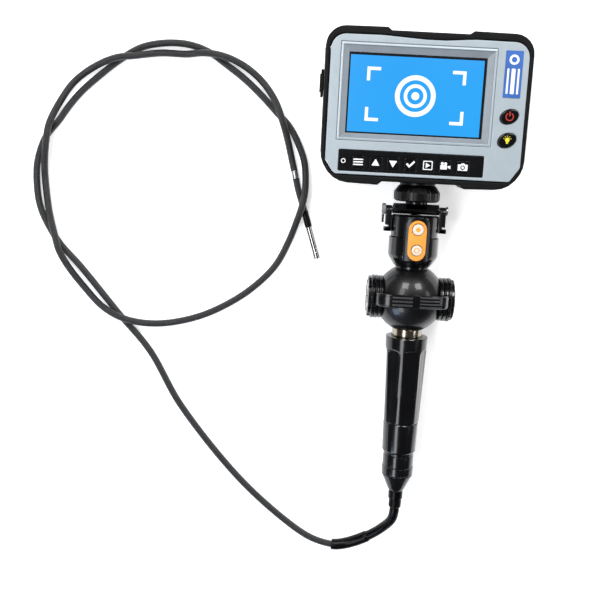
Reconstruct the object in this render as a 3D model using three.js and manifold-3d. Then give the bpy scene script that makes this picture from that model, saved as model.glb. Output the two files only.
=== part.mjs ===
// Two-way articulating videoscope, lying on its back.
// Millimetres, +Z up. The handle's axis runs along Y, with the monitor at +Y and the cable at -Y.
// While it is being built, the ball joint's centre is at the origin of `scope`.
import * as THREE from 'three';
import { mergeVertices } from 'three/addons/utils/BufferGeometryUtils.js';
import Module from 'manifold-3d';

const wasm = await Module();
wasm.setup();

// ---------------------------------------------------------------- driving dimensions
const GAP = 0.3;
const FLOOR = -26.8; // the surface it lies on, below the handle's axis

const BALL_R = 29.6; // wider than it is deep
const BALL_DEPTH = 26.5;
const BALL_WALL = 3;
const BALL_FLAT = 25.6; // the ball is faced off where the head and the ring meet it
const BALL_SIDE = 24.4; // and at the pivots

const BEZEL_TOP = 24;
const BEZEL_BOTTOM = 18;
const SHELL_BACK = -12;
const BAY = { x: 49.5, y0: 114.5, y1: 186 }; // the battery's room
const COVER_WALL = 2.4;
const WINDOW = { x0: -71.5, x1: 54.2, y0: 131, y1: 209 };
const GLASS = { x0: -64.4, x1: 46.8, y0: 137, y1: 201.2 };
const STRIP = { x0: -68.5, x1: 49.5, y0: 106.5, y1: 123.4 };
const KEY = { size: 9.8, pitch: 14.2, x: -9.9, y: 114, count: 7 };
const POWER_AT = [67.2, 156.1];
const LAMP_AT = [66.9, 137.2];
const OVAL = { long: 7.7, short: 5.5, tilt: 0.42 };

const TILT_Y = 75.6; // the monitor's tilt hinge
const BARREL_R = 3.7;
const STEM_R = 9;
const CHEEK_IN = 20.35;
const CHEEK_OUT = 25.3;

const HEAD_TOP = 71.5;
const HEAD_SEAM = 53;
const HEAD_R = 21.2;
const PANEL_R = 24.3;
const PAD_R = 27.3;
const PAD = { width: 15.8, length: 33.5, y: 52 };
const CAPTURE = { y: 61.4, r: 4.6 };
const ROTATE = { y: 44.2, r: 4.3 };

const SHAFT_R = 3.5;
const LEVER = { inner: 27.5, outer: 31, top: 31.2, y0: -3.9, y1: 6.9, hub: 18.7 };

const GRIP_TOP = -33.3;
const GRIP_SEAM = -110;
const GRIP_END = -137;
const CONE_TOP = -158;
const CONE_END = -173.5;
const RELIEF_END = -190;
const FLUTES = 7;

const CABLE_R = 3;
const BOOT_R = 4.2;
const TIP_DIR = new THREE.Vector3(0.309, -0.951, 0).normalize();
const TIP_AT = new THREE.Vector3(-90, 55.3, FLOOR + 3.1); // where the steel tip begins
const LINK_1 = 4.5;
const LINK_2 = 6;
const TIP_LENGTH = 30;

// The cable's route, as x, y and the height of its centre above the surface.
const BOOT_ROUTE = [
  [0, -190.5, 26.8],
  [0, -194, 26.8],
  [-0.8, -203, 24],
  [-7, -215, 16.5],
  [-20, -227, 9],
  [-38, -236, 4.9],
  [-50, -238.6, 4.3],
  [-54, -238.5, 4.25],
];
const ROUTE = [
  [-54.4, -238.4, 4.25],
  [-58, -238, 4.2],
  [-72, -234, 3.5],
  [-92, -222, 3.1],
  [-140, -181, 3.1],
  [-197, -113, 3.1],
  [-226, -64, 3.1],
  [-255, -31, 3.1],
  [-289, 9, 3.1],
  [-307, 28, 3.1],
  [-317, 43, 3.1],
  [-325, 61, 3.1],
  [-328, 83, 3.1],
  [-327, 101, 3.1],
  [-320, 121, 3.1],
  [-309, 135, 3.1],
  [-300, 148, 3.1],
  [-290, 160, 3.1],
  [-276, 173, 3.1],
  [-259, 187, 3.1],
  [-240, 199, 3.1],
  [-219, 204, 3.1],
  [-198, 203.5, 3.1],
  [-181, 198, 3.1],
  [-167, 189, 3.1],
  [-150, 177, 3.1],
  [-134, 163, 3.1],
  [-121, 150, 3.1],
  [-111, 140, 3.1],
  [-103, 127, 3.1],
  [-96.5, 111, 4.2],
  [-94.5, 97, 7.4],
  [-94.5, 84, 9.9],
  [-96.5, 72, 10.1],
  [-100, 60, 8.8],
  [-106, 42, 4.6],
  [-117, 19, 3.1],
  [-134, 0, 3.1],
  [-155, -16, 3.1],
  [-182, -30, 3.1],
  [-213, -38, 4.2],
  [-236, -37.5, 8.2],
  [-253, -33, 10],
  [-269, -24.5, 7.6],
  [-286, -8, 4.8],
  [-299, 9, 7.2],
  [-306.5, 23, 9.9],
  [-310.5, 37, 9.9],
  [-316, 56, 6.6],
  [-320, 79, 3.4],
  [-320.5, 97, 5.8],
  [-318.5, 115, 9.7],
  [-316, 131, 9.8],
  [-308, 150, 5.6],
  [-296, 168, 3.4],
  [-277, 182, 6.4],
  [-259, 189.5, 9.8],
  [-243, 192, 8.8],
  [-222, 195.5, 4.3],
  [-201, 195.5, 5.4],
  [-184, 197, 9.6],
  [-168, 195, 9.6],
  [-151, 188, 4.9],
  [-136, 176.5, 4.9],
  [-124, 161, 9.4],
  [-117, 145, 10],
  [-111.5, 128, 6.2],
  [-107, 111, 3.6],
  [-104.4, 101.6, 3.3],
];
const BAND_AT = [[-104.3, 101.3, 3.3], [-102.5, 94.3, 3.3]];
const BEND_ROUTE = [
  [-102.4, 94, 3.3],
  [-100.4, 86, 3.1],
  [-98, 79, 3.1],
  [-95.9, 73, 3.1],
  [-94.4, 68.4, 3.1],
];

// ---------------------------------------------------------------- materials
const paint = (color, roughness, metalness = 0) =>
  new THREE.MeshStandardMaterial({ color, roughness, metalness });
const RUBBER = paint(0x17181a, 0.75);
const BLACK = paint(0x121316, 0.3);
const SATIN = paint(0x1a1b1f, 0.42);
const SILVER = paint(0xb4b8bf, 0.38, 0.4);
const NICKEL = paint(0xd8d2c4, 0.12, 1);
const STEEL = paint(0xb9bcc0, 0.25, 1);
const ORANGE = paint(0xf5a94c, 0.5);
const WHITE = paint(0xe9e9e6, 0.5);
const SCREEN = paint(0x2d9cff, 0.2);
const GLASSY = paint(0x0c0d10, 0.08);
const BLUE = paint(0x3c69b5, 0.45);
const BOARD = paint(0x1d5a38, 0.6);
const CELL = paint(0x3d4046, 0.6);
const CABLE = paint(0x1d1e20, 0.5);

// ---------------------------------------------------------------- helpers
const scope = new THREE.Group();

function add(name, geometry, material) {
  const mesh = new THREE.Mesh(geometry, material);
  mesh.name = name;
  scope.add(mesh);
  return mesh;
}

// Only positions, with shared vertices merged and the faces that collapse at a pole left out.
function clean(source) {
  const bare = new THREE.BufferGeometry();
  bare.setAttribute('position', source.getAttribute('position').clone());
  if (source.index) bare.setIndex(source.index.clone());
  const merged = mergeVertices(bare, 1e-4);
  const kept = [];
  const ids = merged.index.array;
  for (let i = 0; i < ids.length; i += 3) {
    const [a, b, c] = [ids[i], ids[i + 1], ids[i + 2]];
    if (a !== b && b !== c && c !== a) kept.push(a, b, c);
  }
  merged.setIndex(kept);
  return merged;
}

function solid(geometry) {
  const g = clean(geometry);
  const vertProperties = new Float32Array(g.getAttribute('position').array);
  const triVerts = new Uint32Array(g.index.array);
  return new wasm.Manifold(new wasm.Mesh({ numProp: 3, vertProperties, triVerts }));
}

function geometryOf(manifold) {
  const data = manifold.getMesh();
  const g = new THREE.BufferGeometry();
  g.setAttribute('position', new THREE.BufferAttribute(new Float32Array(data.vertProperties), 3));
  g.setIndex(Array.from(data.triVerts));
  return g;
}

const join = (first, ...more) =>
  geometryOf(more.reduce((sum, g) => sum.add(solid(g)), solid(first)));
const cut = (first, ...more) =>
  geometryOf(more.reduce((rest, g) => rest.subtract(solid(g)), solid(first)));
const common = (first, second) => geometryOf(solid(first).intersect(solid(second)));

// A turned solid round Y, from [radius, y] points that run up the outside and down the inside.
const turned = (points, segments = 24) =>
  new THREE.LatheGeometry(points.map(([r, y]) => new THREE.Vector2(r, y)), segments);
const turnedX = (points, segments = 24) => turned(points, segments).rotateZ(-Math.PI / 2);
const turnedZ = (points, segments = 24) => turned(points, segments).rotateX(Math.PI / 2);

function ring(inner, outer, y0, y1) {
  return [[inner, y0], [outer, y0], [outer, y1], [inner, y1], [inner, y0]];
}

function box(x0, x1, y0, y1, z0, z1) {
  const g = new THREE.BoxGeometry(x1 - x0, y1 - y0, z1 - z0);
  return g.translate((x0 + x1) / 2, (y0 + y1) / 2, (z0 + z1) / 2);
}

// A plate from a shape in XY, between two heights.
function plate(shape, z0, z1, curveSegments = 6) {
  const options = { depth: z1 - z0, bevelEnabled: false, curveSegments };
  return new THREE.ExtrudeGeometry(shape, options).translate(0, 0, z0);
}

// A shape in XZ, drawn along Y between y0 and y1.
function alongY(shape, y0, y1, curveSegments = 8) {
  const options = { depth: y1 - y0, bevelEnabled: false, curveSegments };
  const g = new THREE.ExtrudeGeometry(shape, options);
  return g.rotateX(Math.PI / 2).translate(0, y1, 0);
}

// A shape in YZ, drawn along X between x0 and x1.
function alongX(shape, x0, x1, curveSegments = 8) {
  const options = { depth: x1 - x0, bevelEnabled: false, curveSegments };
  const basis = new THREE.Matrix4().makeBasis(
    new THREE.Vector3(0, 1, 0),
    new THREE.Vector3(0, 0, 1),
    new THREE.Vector3(1, 0, 0),
  );
  return new THREE.ExtrudeGeometry(shape, options).applyMatrix4(basis).translate(x0, 0, 0);
}

// A closed outline whose corners are rounded by the third number of each point.
function outline(points, Type = THREE.Shape) {
  const path = new Type();
  const n = points.length;
  points.forEach(([x, y, r], i) => {
    const here = new THREE.Vector2(x, y);
    const before = new THREE.Vector2(...points[(i + n - 1) % n].slice(0, 2)).sub(here);
    const after = new THREE.Vector2(...points[(i + 1) % n].slice(0, 2)).sub(here);
    const a = here.clone().addScaledVector(before.normalize(), r);
    const b = here.clone().addScaledVector(after.normalize(), r);
    if (i === 0) path.moveTo(a.x, a.y);
    else path.lineTo(a.x, a.y);
    if (r > 0) path.quadraticCurveTo(x, y, b.x, b.y);
  });
  path.closePath();
  return path;
}

// The same outline, moved outwards by d along every edge.
function offset(points, d) {
  const n = points.length;
  return points.map(([x, y, r], i) => {
    const p = points[(i + n - 1) % n];
    const q = points[(i + 1) % n];
    const u = new THREE.Vector2(x - p[0], y - p[1]).normalize();
    const v = new THREE.Vector2(q[0] - x, q[1] - y).normalize();
    const nu = new THREE.Vector2(u.y, -u.x);
    const nv = new THREE.Vector2(v.y, -v.x);
    const k = d / (1 + nu.dot(nv));
    return [x + (nu.x + nv.x) * k, y + (nu.y + nv.y) * k, Math.max(0, r)];
  });
}

const rect = ({ x0, x1, y0, y1 }, grow = 0, r = 0) => [
  [x0 - grow, y0 - grow, r],
  [x1 + grow, y0 - grow, r],
  [x1 + grow, y1 + grow, r],
  [x0 - grow, y1 + grow, r],
];

function oval([x, y], grow = 0, Type = THREE.Shape) {
  const path = new Type();
  path.absellipse(x, y, OVAL.long + grow, OVAL.short + grow, 0, Math.PI * 2, false, OVAL.tilt);
  return path;
}

function tube(points, radius, sides, steps) {
  const route = new THREE.CatmullRomCurve3(
    points.map(([x, y, h]) => new THREE.Vector3(x, y, FLOOR + h)),
    false,
    'centripetal',
  );
  const section = new THREE.Shape();
  for (let i = 0; i < sides; i++) {
    const a = ((i + 0.5) / sides) * Math.PI * 2;
    if (i === 0) section.moveTo(radius * Math.cos(a), radius * Math.sin(a));
    else section.lineTo(radius * Math.cos(a), radius * Math.sin(a));
  }
  section.closePath();
  return new THREE.ExtrudeGeometry(section, { steps, bevelEnabled: false, extrudePath: route });
}

// ---------------------------------------------------------------- monitor
const BEZEL_OUTLINE = [
  [-71.5, 103.8, 3],
  [71.5, 103.8, 3],
  [79.5, 115.5, 4],
  [79.5, 214.8, 9],
  [16, 215, 1],
  [11, 213.8, 1],
  [-11, 213.8, 1],
  [-16, 215, 1],
  [-79.5, 214.8, 9],
  [-79.5, 115.5, 4],
];
const BUMPER_OUTLINE = [
  [-70.5, 97, 5],
  [-35.5, 96, 1.5],
  [-32, 99, 1.5],
  [32, 99, 1.5],
  [35.5, 96, 1.5],
  [70.5, 97, 5],
  [83.3, 112.5, 5],
  [83.5, 210.5, 6],
  [74, 221, 6],
  [34.5, 221.8, 1.5],
  [31.5, 219.3, 1.5],
  [-31.5, 219.3, 1.5],
  [-34.5, 221.8, 1.5],
  [-74, 221, 6],
  [-83.5, 210.5, 6],
  [-83.3, 112.5, 5],
];
const COVER_SCREWS = [[-30, 192.5], [30, 192.5]];

function rearShell() {
  const tray = plate(outline(BEZEL_OUTLINE), SHELL_BACK, BEZEL_BOTTOM - 0.4, 3);
  const room = plate(outline(offset(BEZEL_OUTLINE, -2.4)), SHELL_BACK + 2.4, 30, 3);
  const bay = box(-BAY.x, BAY.x, BAY.y0, BAY.y1, -35, 0);
  const port = box(-90, -76, 169, 183, -4.5, 4.5);
  const holes = COVER_SCREWS.map(([x, y]) =>
    turnedZ([[0, -20], [1.6, -20], [1.6, 0], [0, 0]], 12).translate(x, y, 0));
  return cut(tray, room, bay, port, ...holes);
}

function rubberBumper() {
  const shape = outline(BUMPER_OUTLINE);
  shape.holes.push(outline(offset(BEZEL_OUTLINE, 0.35), THREE.Path));
  const body = plate(shape, SHELL_BACK, BEZEL_TOP - 1.4, 3);
  const neck = box(-15.5, 15.5, 90, 106, -20, 15.5);
  const port = box(-90, -76, 168, 184, -5.5, 5.5);
  return cut(body, neck, port);
}

function frontBezel() {
  const shape = outline(BEZEL_OUTLINE);
  shape.holes.push(outline(rect(WINDOW), THREE.Path));
  shape.holes.push(outline(rect(STRIP, GAP, 2), THREE.Path));
  shape.holes.push(oval(POWER_AT, GAP, THREE.Path));
  shape.holes.push(oval(LAMP_AT, GAP, THREE.Path));
  return plate(shape, BEZEL_BOTTOM, BEZEL_TOP, 8);
}

// A four-sided frame whose top slopes down from the outer edge to the inner edge.
function slopedFrame(outer, inner, bottom, outerTop, innerTop) {
  const loops = [[outer, bottom], [outer, outerTop], [inner, innerTop], [inner, bottom]];
  const positions = [];
  for (const [r, z] of loops) for (const [x, y] of rect(r)) positions.push(x, y, z);
  const index = [];
  for (let k = 0; k < 4; k++) {
    for (let i = 0; i < 4; i++) {
      const [a, b] = [k * 4 + i, k * 4 + ((i + 1) % 4)];
      const [c, d] = [((k + 1) % 4) * 4 + i, ((k + 1) % 4) * 4 + ((i + 1) % 4)];
      index.push(a, b, d, a, d, c);
    }
  }
  const g = new THREE.BufferGeometry();
  g.setAttribute('position', new THREE.Float32BufferAttribute(positions, 3));
  g.setIndex(index);
  return g;
}

const grown = ({ x0, x1, y0, y1 }, d) => ({ x0: x0 - d, x1: x1 + d, y0: y0 - d, y1: y1 + d });

function buttonStrip() {
  const shape = outline(rect(STRIP, 0, 2));
  for (let i = 0; i < KEY.count; i++) {
    const x = KEY.x + (i - 3) * KEY.pitch;
    const h = KEY.size / 2 + GAP;
    const hole = { x0: x - h, x1: x + h, y0: KEY.y - h, y1: KEY.y + h };
    shape.holes.push(outline(rect(hole, 0, 1.2), THREE.Path));
  }
  return plate(shape, 20.5, BEZEL_TOP + 0.3, 3);
}

function key(i) {
  const x = KEY.x + (i - 3) * KEY.pitch;
  const h = KEY.size / 2;
  return plate(outline(rect({ x0: x - h, x1: x + h, y0: KEY.y - h, y1: KEY.y + h }, 0, 1.2)), 20.9, 25, 3);
}

// The deep cover that holds the battery, and that the monitor lies on.
function batteryCover() {
  const shape = outline([[-55, 110, 6], [55, 110, 6], [55, 199, 6], [-55, 199, 6]]);
  const body = plate(shape, FLOOR, SHELL_BACK - GAP, 3);
  const bay = box(-BAY.x, BAY.x, BAY.y0, BAY.y1, FLOOR + COVER_WALL, 0);
  const drills = COVER_SCREWS.flatMap(([x, y]) => [
    turnedZ([[0, -35], [1.6, -35], [1.6, 0], [0, 0]], 12).translate(x, y, 0),
    turnedZ([[0, -35], [2.8, -35], [2.8, FLOOR + 1.6], [0, FLOOR + 1.6]], 16).translate(x, y, 0),
  ]);
  return cut(body, bay, ...drills);
}

function coverScrew([x, y]) {
  const head = FLOOR + 0.3;
  const end = SHELL_BACK + 3.5;
  const profile = [[0, head], [2.4, head], [2.4, head + 1], [1.2, head + 1], [1.2, end], [0, end]];
  return turnedZ(profile, 12).translate(x, y, 0);
}

// A flap with a round knuckle along its lower edge; it turns about that knuckle.
function portCover() {
  const flap = box(-86, -83.8, 164.8, 187.2, -8, 8.7);
  const knuckle = turned([[0, 164.8], [1.1, 164.8], [1.1, 187.2], [0, 187.2]], 12).translate(-84.9, 0, -8);
  return join(flap, knuckle);
}

add('rear_shell', rearShell(), RUBBER);
add('rubber_bumper', rubberBumper(), RUBBER);
add('front_bezel', frontBezel(), SILVER);
add('screen_surround', slopedFrame(grown(WINDOW, -GAP), GLASS, 18.3, 23.6, 20.5), SILVER);
add('screen_glass', plate(outline(rect(GLASS, -GAP)), 18.6, 19.8), GLASSY);
add('lcd_panel', box(-66, 48.5, 135, 203, 12.5, 17.7), SCREEN);
add('button_strip', buttonStrip(), BLACK);
for (let i = 0; i < KEY.count; i++) add(`key_${i + 1}`, key(i), WHITE);
add('power_button', plate(oval(POWER_AT), 20, 25.4, 8), BLACK);
add('lamp_button', plate(oval(LAMP_AT), 20, 25.4, 8), BLACK);
add('label_plate', box(60.3, 74.3, 171, 208, BEZEL_TOP + GAP, BEZEL_TOP + 0.9), BLUE);
add('main_board', box(-70, 70, 108, 208, 8, 9.6), BOARD);
add('battery_pack', box(-48.5, 48.5, 115.5, 185, FLOOR + COVER_WALL + GAP, -4), CELL);
add('battery_cover', batteryCover(), RUBBER);
add('cover_screw_left', coverScrew(COVER_SCREWS[0]), STEEL);
add('cover_screw_right', coverScrew(COVER_SCREWS[1]), STEEL);
add('usb_port', box(-79, -71, 170, 182, -4, 4), STEEL);
add('port_cover', portCover(), RUBBER);
add('mount_flange', turned(ring(STEM_R + GAP, 15, 96.6, 103.5)), SATIN);

// ---------------------------------------------------------------- tilt and swivel mount
function tiltBlock() {
  const barrel = turnedX([[0, -19.9], [BARREL_R, -19.9], [BARREL_R, 19.9], [0, 19.9]], 20);
  const web = box(-9.2, 9.2, TILT_Y, 82.5, -3.6, 3.6);
  const saddle = box(-19.4, 19.4, TILT_Y, 80.8, -3.6, 3.6);
  const stem = turned([[0, 80.6], [STEM_R, 80.6], [STEM_R, 101], [0, 101]], 28);
  const bore = turnedX([[0, -30], [2.1, -30], [2.1, 30], [0, 30]], 12).translate(0, TILT_Y, 0);
  return cut(join(barrel.translate(0, TILT_Y, 0), saddle, web, stem), bore);
}

function cheek(side) {
  const [a, b] = side < 0 ? [-CHEEK_OUT, -CHEEK_IN] : [CHEEK_IN, CHEEK_OUT];
  const shape = new THREE.Shape();
  shape.moveTo(57, -5);
  shape.lineTo(TILT_Y - 3, -5);
  shape.absarc(TILT_Y - 1.8, 0, 5, -Math.PI / 2, Math.PI / 2, false);
  shape.lineTo(57, 5);
  shape.closePath();
  const foot = side < 0 ? box(-26.4, -CHEEK_IN, 57, 60.3, -5, 5) : box(CHEEK_IN, 26.4, 57, 60.3, -5, 5);
  const bore = turnedX([[0, -30], [2.1, -30], [2.1, 30], [0, 30]], 12).translate(0, TILT_Y, 0);
  return cut(join(alongX(shape, a, b, 6), foot), bore);
}

// The pin's left head is a winged clamp nut, which sets how stiffly the monitor tilts.
function hingePin() {
  const head = CHEEK_OUT + GAP;
  const end = head + 1.7;
  const knob = head + 3.2;
  const points = [
    [0, -knob], [4.6, -knob], [4.6, -head], [1.8, -head],
    [1.8, head], [4, head], [4, end], [0, end],
  ];
  const wing = box(-knob, -head - 0.8, TILT_Y - 11.8, TILT_Y + 3, -2.8, 2.8);
  return join(turnedX(points, 20).translate(0, TILT_Y, 0), wing);
}

const LOCK_RING = [
  [STEM_R + GAP, 83], [18.2, 83], [19.4, 84.2], [19.4, 91],
  [15.6, 96.3], [STEM_R + GAP, 96.3], [STEM_R + GAP, 83],
];

add('tilt_block', tiltBlock(), STEEL);
add('lock_ring', turned(LOCK_RING, 24), SATIN);
add('hinge_pin', hingePin(), STEEL);
add('cheek_left', cheek(-1), SATIN);
add('cheek_right', cheek(1), SATIN);

// ---------------------------------------------------------------- head and keypad
const HEAD_UPPER = [
  [17.4, HEAD_SEAM + 0.2], [20, HEAD_SEAM + 0.2], [20, HEAD_TOP - 1], [19, HEAD_TOP],
  [5, HEAD_TOP], [5, 69], [17.4, 69], [17.4, HEAD_SEAM + 0.2],
];
const HEAD_LOWER = [
  [6, 25.9], [13.8, 25.9], [13.8, 28.2], [15.7, 28.2], [20.5, 35.6], [HEAD_R, 38],
  [HEAD_R, HEAD_SEAM - 0.1], [18.6, HEAD_SEAM - 0.1], [18.6, 38], [13, 31.5], [6, 31.5], [6, 25.9],
];

function arcSlab(inner, outer, halfWidth) {
  const a = Math.asin(halfWidth / outer);
  const b = Math.asin(halfWidth / inner);
  const shape = new THREE.Shape();
  shape.absarc(0, 0, outer, Math.PI / 2 - a, Math.PI / 2 + a, false);
  shape.absarc(0, 0, inner, Math.PI / 2 + b, Math.PI / 2 - b, true);
  shape.closePath();
  return shape;
}

function buttonPad() {
  const r = PAD.width / 2;
  const straight = PAD.length / 2 - r;
  const stadium = new THREE.Shape();
  stadium.absarc(0, PAD.y - straight, r, Math.PI, Math.PI * 2, false);
  stadium.absarc(0, PAD.y + straight, r, 0, Math.PI, false);
  stadium.closePath();
  for (const button of [CAPTURE, ROTATE]) {
    const hole = new THREE.Path();
    hole.absarc(0, button.y, button.r + GAP, 0, Math.PI * 2, true);
    stadium.holes.push(hole);
  }
  const prism = plate(stadium, 15, 35, 8);
  const slab = alongY(arcSlab(PANEL_R + GAP, PAD_R, 12), 20, 80, 6);
  return common(prism, slab);
}

function roundButton({ y, r }) {
  const profile = [[0, 25.8], [r, 25.8], [r, 28.0], [r - 0.4, 28.4], [r - 1.6, 28.4], [0, 28]];
  return turnedZ(profile, 20).translate(0, y, 0);
}

add('head_upper', turned(HEAD_UPPER, 28), BLACK);
add('head_lower', turned(HEAD_LOWER, 28), BLACK);
add('button_panel', alongY(arcSlab(HEAD_R + GAP, PANEL_R, 10.7), 34.2, 71.3), BLACK);
add('button_pad', buttonPad(), ORANGE);
add('capture_button', roundButton(CAPTURE), WHITE);
add('rotate_button', roundButton(ROTATE), WHITE);

// ---------------------------------------------------------------- ball joint housing
function ballHalf(side) {
  const outer = [];
  const inner = [];
  const inside = BALL_DEPTH - BALL_WALL;
  const steps = 7;
  for (let i = 0; i <= steps; i++) {
    const a = (i / steps) * (Math.PI / 2);
    outer.push([BALL_R * Math.cos(a), 0.15 + (BALL_DEPTH - 0.15) * Math.sin(a)]);
    inner.unshift([inside * Math.cos(a), 0.15 + (inside - 0.15) * Math.sin(a)]);
  }
  outer[steps][0] = 0;
  inner[0][0] = 0;
  const bowl = turnedZ([...outer, ...inner, outer[0]], 24);
  if (side < 0) bowl.rotateX(Math.PI);
  const shaft = turnedX([[0, -40], [SHAFT_R + 0.5, -40], [SHAFT_R + 0.5, 40], [0, 40]], 16);
  const wires = turned([[0, -40], [5, -40], [5, 40], [0, 40]], 16);
  return cut(
    bowl,
    shaft,
    wires,
    box(BALL_SIDE, 40, -40, 40, -40, 40),
    box(-40, -BALL_SIDE, -40, 40, -40, 40),
    box(-40, 40, BALL_FLAT, 40, -40, 40),
    box(-40, 40, -40, -BALL_FLAT, -40, 40),
  );
}

const bearing = ring(SHAFT_R + 0.5, 18.5, BALL_SIDE + GAP, 27.2);

add('ball_front', ballHalf(1), SATIN);
add('ball_back', ballHalf(-1), SATIN);
add('bearing_right', turnedX(bearing), BLACK);
add('bearing_left', turnedX(bearing).rotateZ(Math.PI), BLACK);

// ---------------------------------------------------------------- thumb lever
function leverYoke() {
  const { inner, outer, top, y0, y1, hub } = LEVER;
  const arch = new THREE.Shape();
  arch.moveTo(inner, 0);
  arch.lineTo(outer, 0);
  arch.lineTo(outer, 16);
  arch.quadraticCurveTo(outer, top, 15, top);
  arch.lineTo(-15, top);
  arch.quadraticCurveTo(-outer, top, -outer, 16);
  arch.lineTo(-outer, 0);
  arch.lineTo(-inner, 0);
  arch.lineTo(-inner, hub + 0.5);
  arch.quadraticCurveTo(-inner, inner, -15.5, inner);
  arch.lineTo(15.5, inner);
  arch.quadraticCurveTo(inner, inner, inner, hub + 0.5);
  const disc = [[0, inner], [hub, inner], [hub, outer], [0, outer]];
  const bore = turnedX([[0, -40], [SHAFT_R + GAP, -40], [SHAFT_R + GAP, 40], [0, 40]], 20);
  return cut(join(alongY(arch, y0, y1, 12), turnedX(disc), turnedX(disc).rotateZ(Math.PI)), bore);
}

const CAP = [
  [0, 31.3], [18.9, 31.3], [18.9, 33.6], [17.7, 34.1], [17.7, 35.9], [16.6, 36.8], [0, 36.8],
];
const DRUM = [
  [SHAFT_R + GAP, -6], [14, -6], [14, -3.5], [11.5, -2], [11.5, 2], [14, 3.5], [14, 6],
  [SHAFT_R + GAP, 6], [SHAFT_R + GAP, -6],
];

add('lever_yoke', leverYoke(), BLACK);
add('cap_right', turnedX(CAP), BLACK);
add('cap_left', turnedX(CAP).rotateZ(Math.PI), BLACK);
add('lever_shaft', turnedX([[0, -31], [SHAFT_R, -31], [SHAFT_R, 31], [0, 31]], 20), STEEL);
add('wire_drum', turnedX(DRUM), STEEL);

// ---------------------------------------------------------------- grip
const gripRadius = (y) => 18.2 + (y - GRIP_TOP) * 0.0338;

// Long flutes between narrow ridges, deepest at the top and gone at the seam.
function gripShell() {
  const perFlute = 6;
  const depthAt = [0, 0.8, 1, 1, 1, 0.8];
  const levels = [GRIP_SEAM, -95, -78, -62, -50, -46.5, -43, -36, GRIP_TOP];
  const profile = levels.map((y) => [gripRadius(y), y]);
  profile.unshift([11, GRIP_SEAM]);
  profile.push([14, GRIP_TOP], [11, GRIP_TOP - 3], [11, GRIP_SEAM]);
  const g = clean(turned(profile, FLUTES * perFlute));
  const p = g.getAttribute('position');
  for (let i = 0; i < p.count; i++) {
    const [x, y, z] = [p.getX(i), p.getY(i), p.getZ(i)];
    const r = Math.hypot(x, z);
    if (r < 13.5 || y > -45 || y < GRIP_SEAM + 1) continue;
    const step = Math.round((Math.atan2(x, z) / (Math.PI * 2)) * FLUTES * perFlute);
    const share = depthAt[((step % perFlute) + perFlute) % perFlute];
    const depth = share * (0.5 + 1.1 * ((y - GRIP_SEAM) / (-46 - GRIP_SEAM)));
    p.setXYZ(i, (x * (r - depth)) / r, y, (z * (r - depth)) / r);
  }
  return g.rotateY(-0.27);
}

const COLLAR = [[5.5, -33], [12.8, -33], [12.8, -27.6], [11, -25.9], [5.5, -25.9], [5.5, -33]];
const GRIP_LOWER = [
  [11, GRIP_END], [14.0, GRIP_END], [14.7, GRIP_END + 1.2], [gripRadius(GRIP_SEAM), GRIP_SEAM - GAP],
  [11, GRIP_SEAM - GAP], [11, GRIP_END],
];
const END_RING = [
  [10.5, CONE_TOP], [13.8, CONE_TOP], [13.8, -151], [13.1, -150.5], [13.1, -150], [13.6, -149.5],
  [13.3, -140.4], [12.7, -140], [12.7, -139.5], [13.3, -139], [13.4, GRIP_END - GAP],
  [10.5, GRIP_END - GAP], [10.5, CONE_TOP],
];
const END_CONE = [
  [4.4, CONE_END], [6.7, CONE_END], [7.4, CONE_END + 1.4], [13.6, CONE_TOP - GAP], [4.4, CONE_TOP - GAP],
  [4.4, CONE_END],
];
const RELIEF = [
  [0, RELIEF_END], [5, RELIEF_END], [5.5, RELIEF_END + 1], [5.7, -181.4], [6.3, -181],
  [6.3, CONE_END - GAP], [0, CONE_END - GAP],
];

add('collar_ring', turned(COLLAR, 28), NICKEL);
add('grip_shell', gripShell(), BLACK);
add('grip_lower', turned(GRIP_LOWER, 28), BLACK);
add('end_ring', turned(END_RING, 28), BLACK);
add('end_cone', turned(END_CONE, 24), BLACK);
add('strain_relief', turned(RELIEF, 16), RUBBER);
add('chassis_tube', turned(ring(6, 8, -156, -37), 12), STEEL);

// ---------------------------------------------------------------- cable and articulating tip
// A short round link between two bend joints; its chamfered ends leave room for the bend.
function link(length, radius) {
  const e = GAP / 2;
  const bevel = 1.05;
  const profile = [
    [0, e], [0.5, e], [radius, e + bevel], [radius, length - e - bevel], [0.5, length - e], [0, length - e],
  ];
  return turned(profile, 12);
}

const tipTurn = new THREE.Quaternion().setFromUnitVectors(new THREE.Vector3(0, 1, 0), TIP_DIR);

function atTip(geometry, distance) {
  const at = TIP_AT.clone().addScaledVector(TIP_DIR, distance);
  return geometry.applyQuaternion(tipTurn).translate(at.x, at.y, at.z);
}

// The flexible section's last stretch is straight, and its end is chamfered as the links are.
function bendSleeve() {
  const pivot = -LINK_1 - LINK_2;
  const stub = [[0, -4], [2.9, -4], [2.9, -0.15 - 1.05], [0.5, -0.15], [0, -0.15]];
  const end = atTip(turned(stub, 12), pivot);
  return join(tube(BEND_ROUTE, 2.9, 10, 6), end);
}

const TIP = [
  [0, 0.15], [0.5, 0.15], [2.8, 1.2], [2.8, 24], [2.95, 24.3], [2.95, TIP_LENGTH - 0.3],
  [2.7, TIP_LENGTH], [2.1, TIP_LENGTH], [2.1, TIP_LENGTH - 1.5], [0, TIP_LENGTH - 1.5],
];
const LENS = [[0, TIP_LENGTH - 1.2], [1.8, TIP_LENGTH - 1.2], [1.8, TIP_LENGTH - 0.2], [0, TIP_LENGTH - 0.2]];

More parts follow.
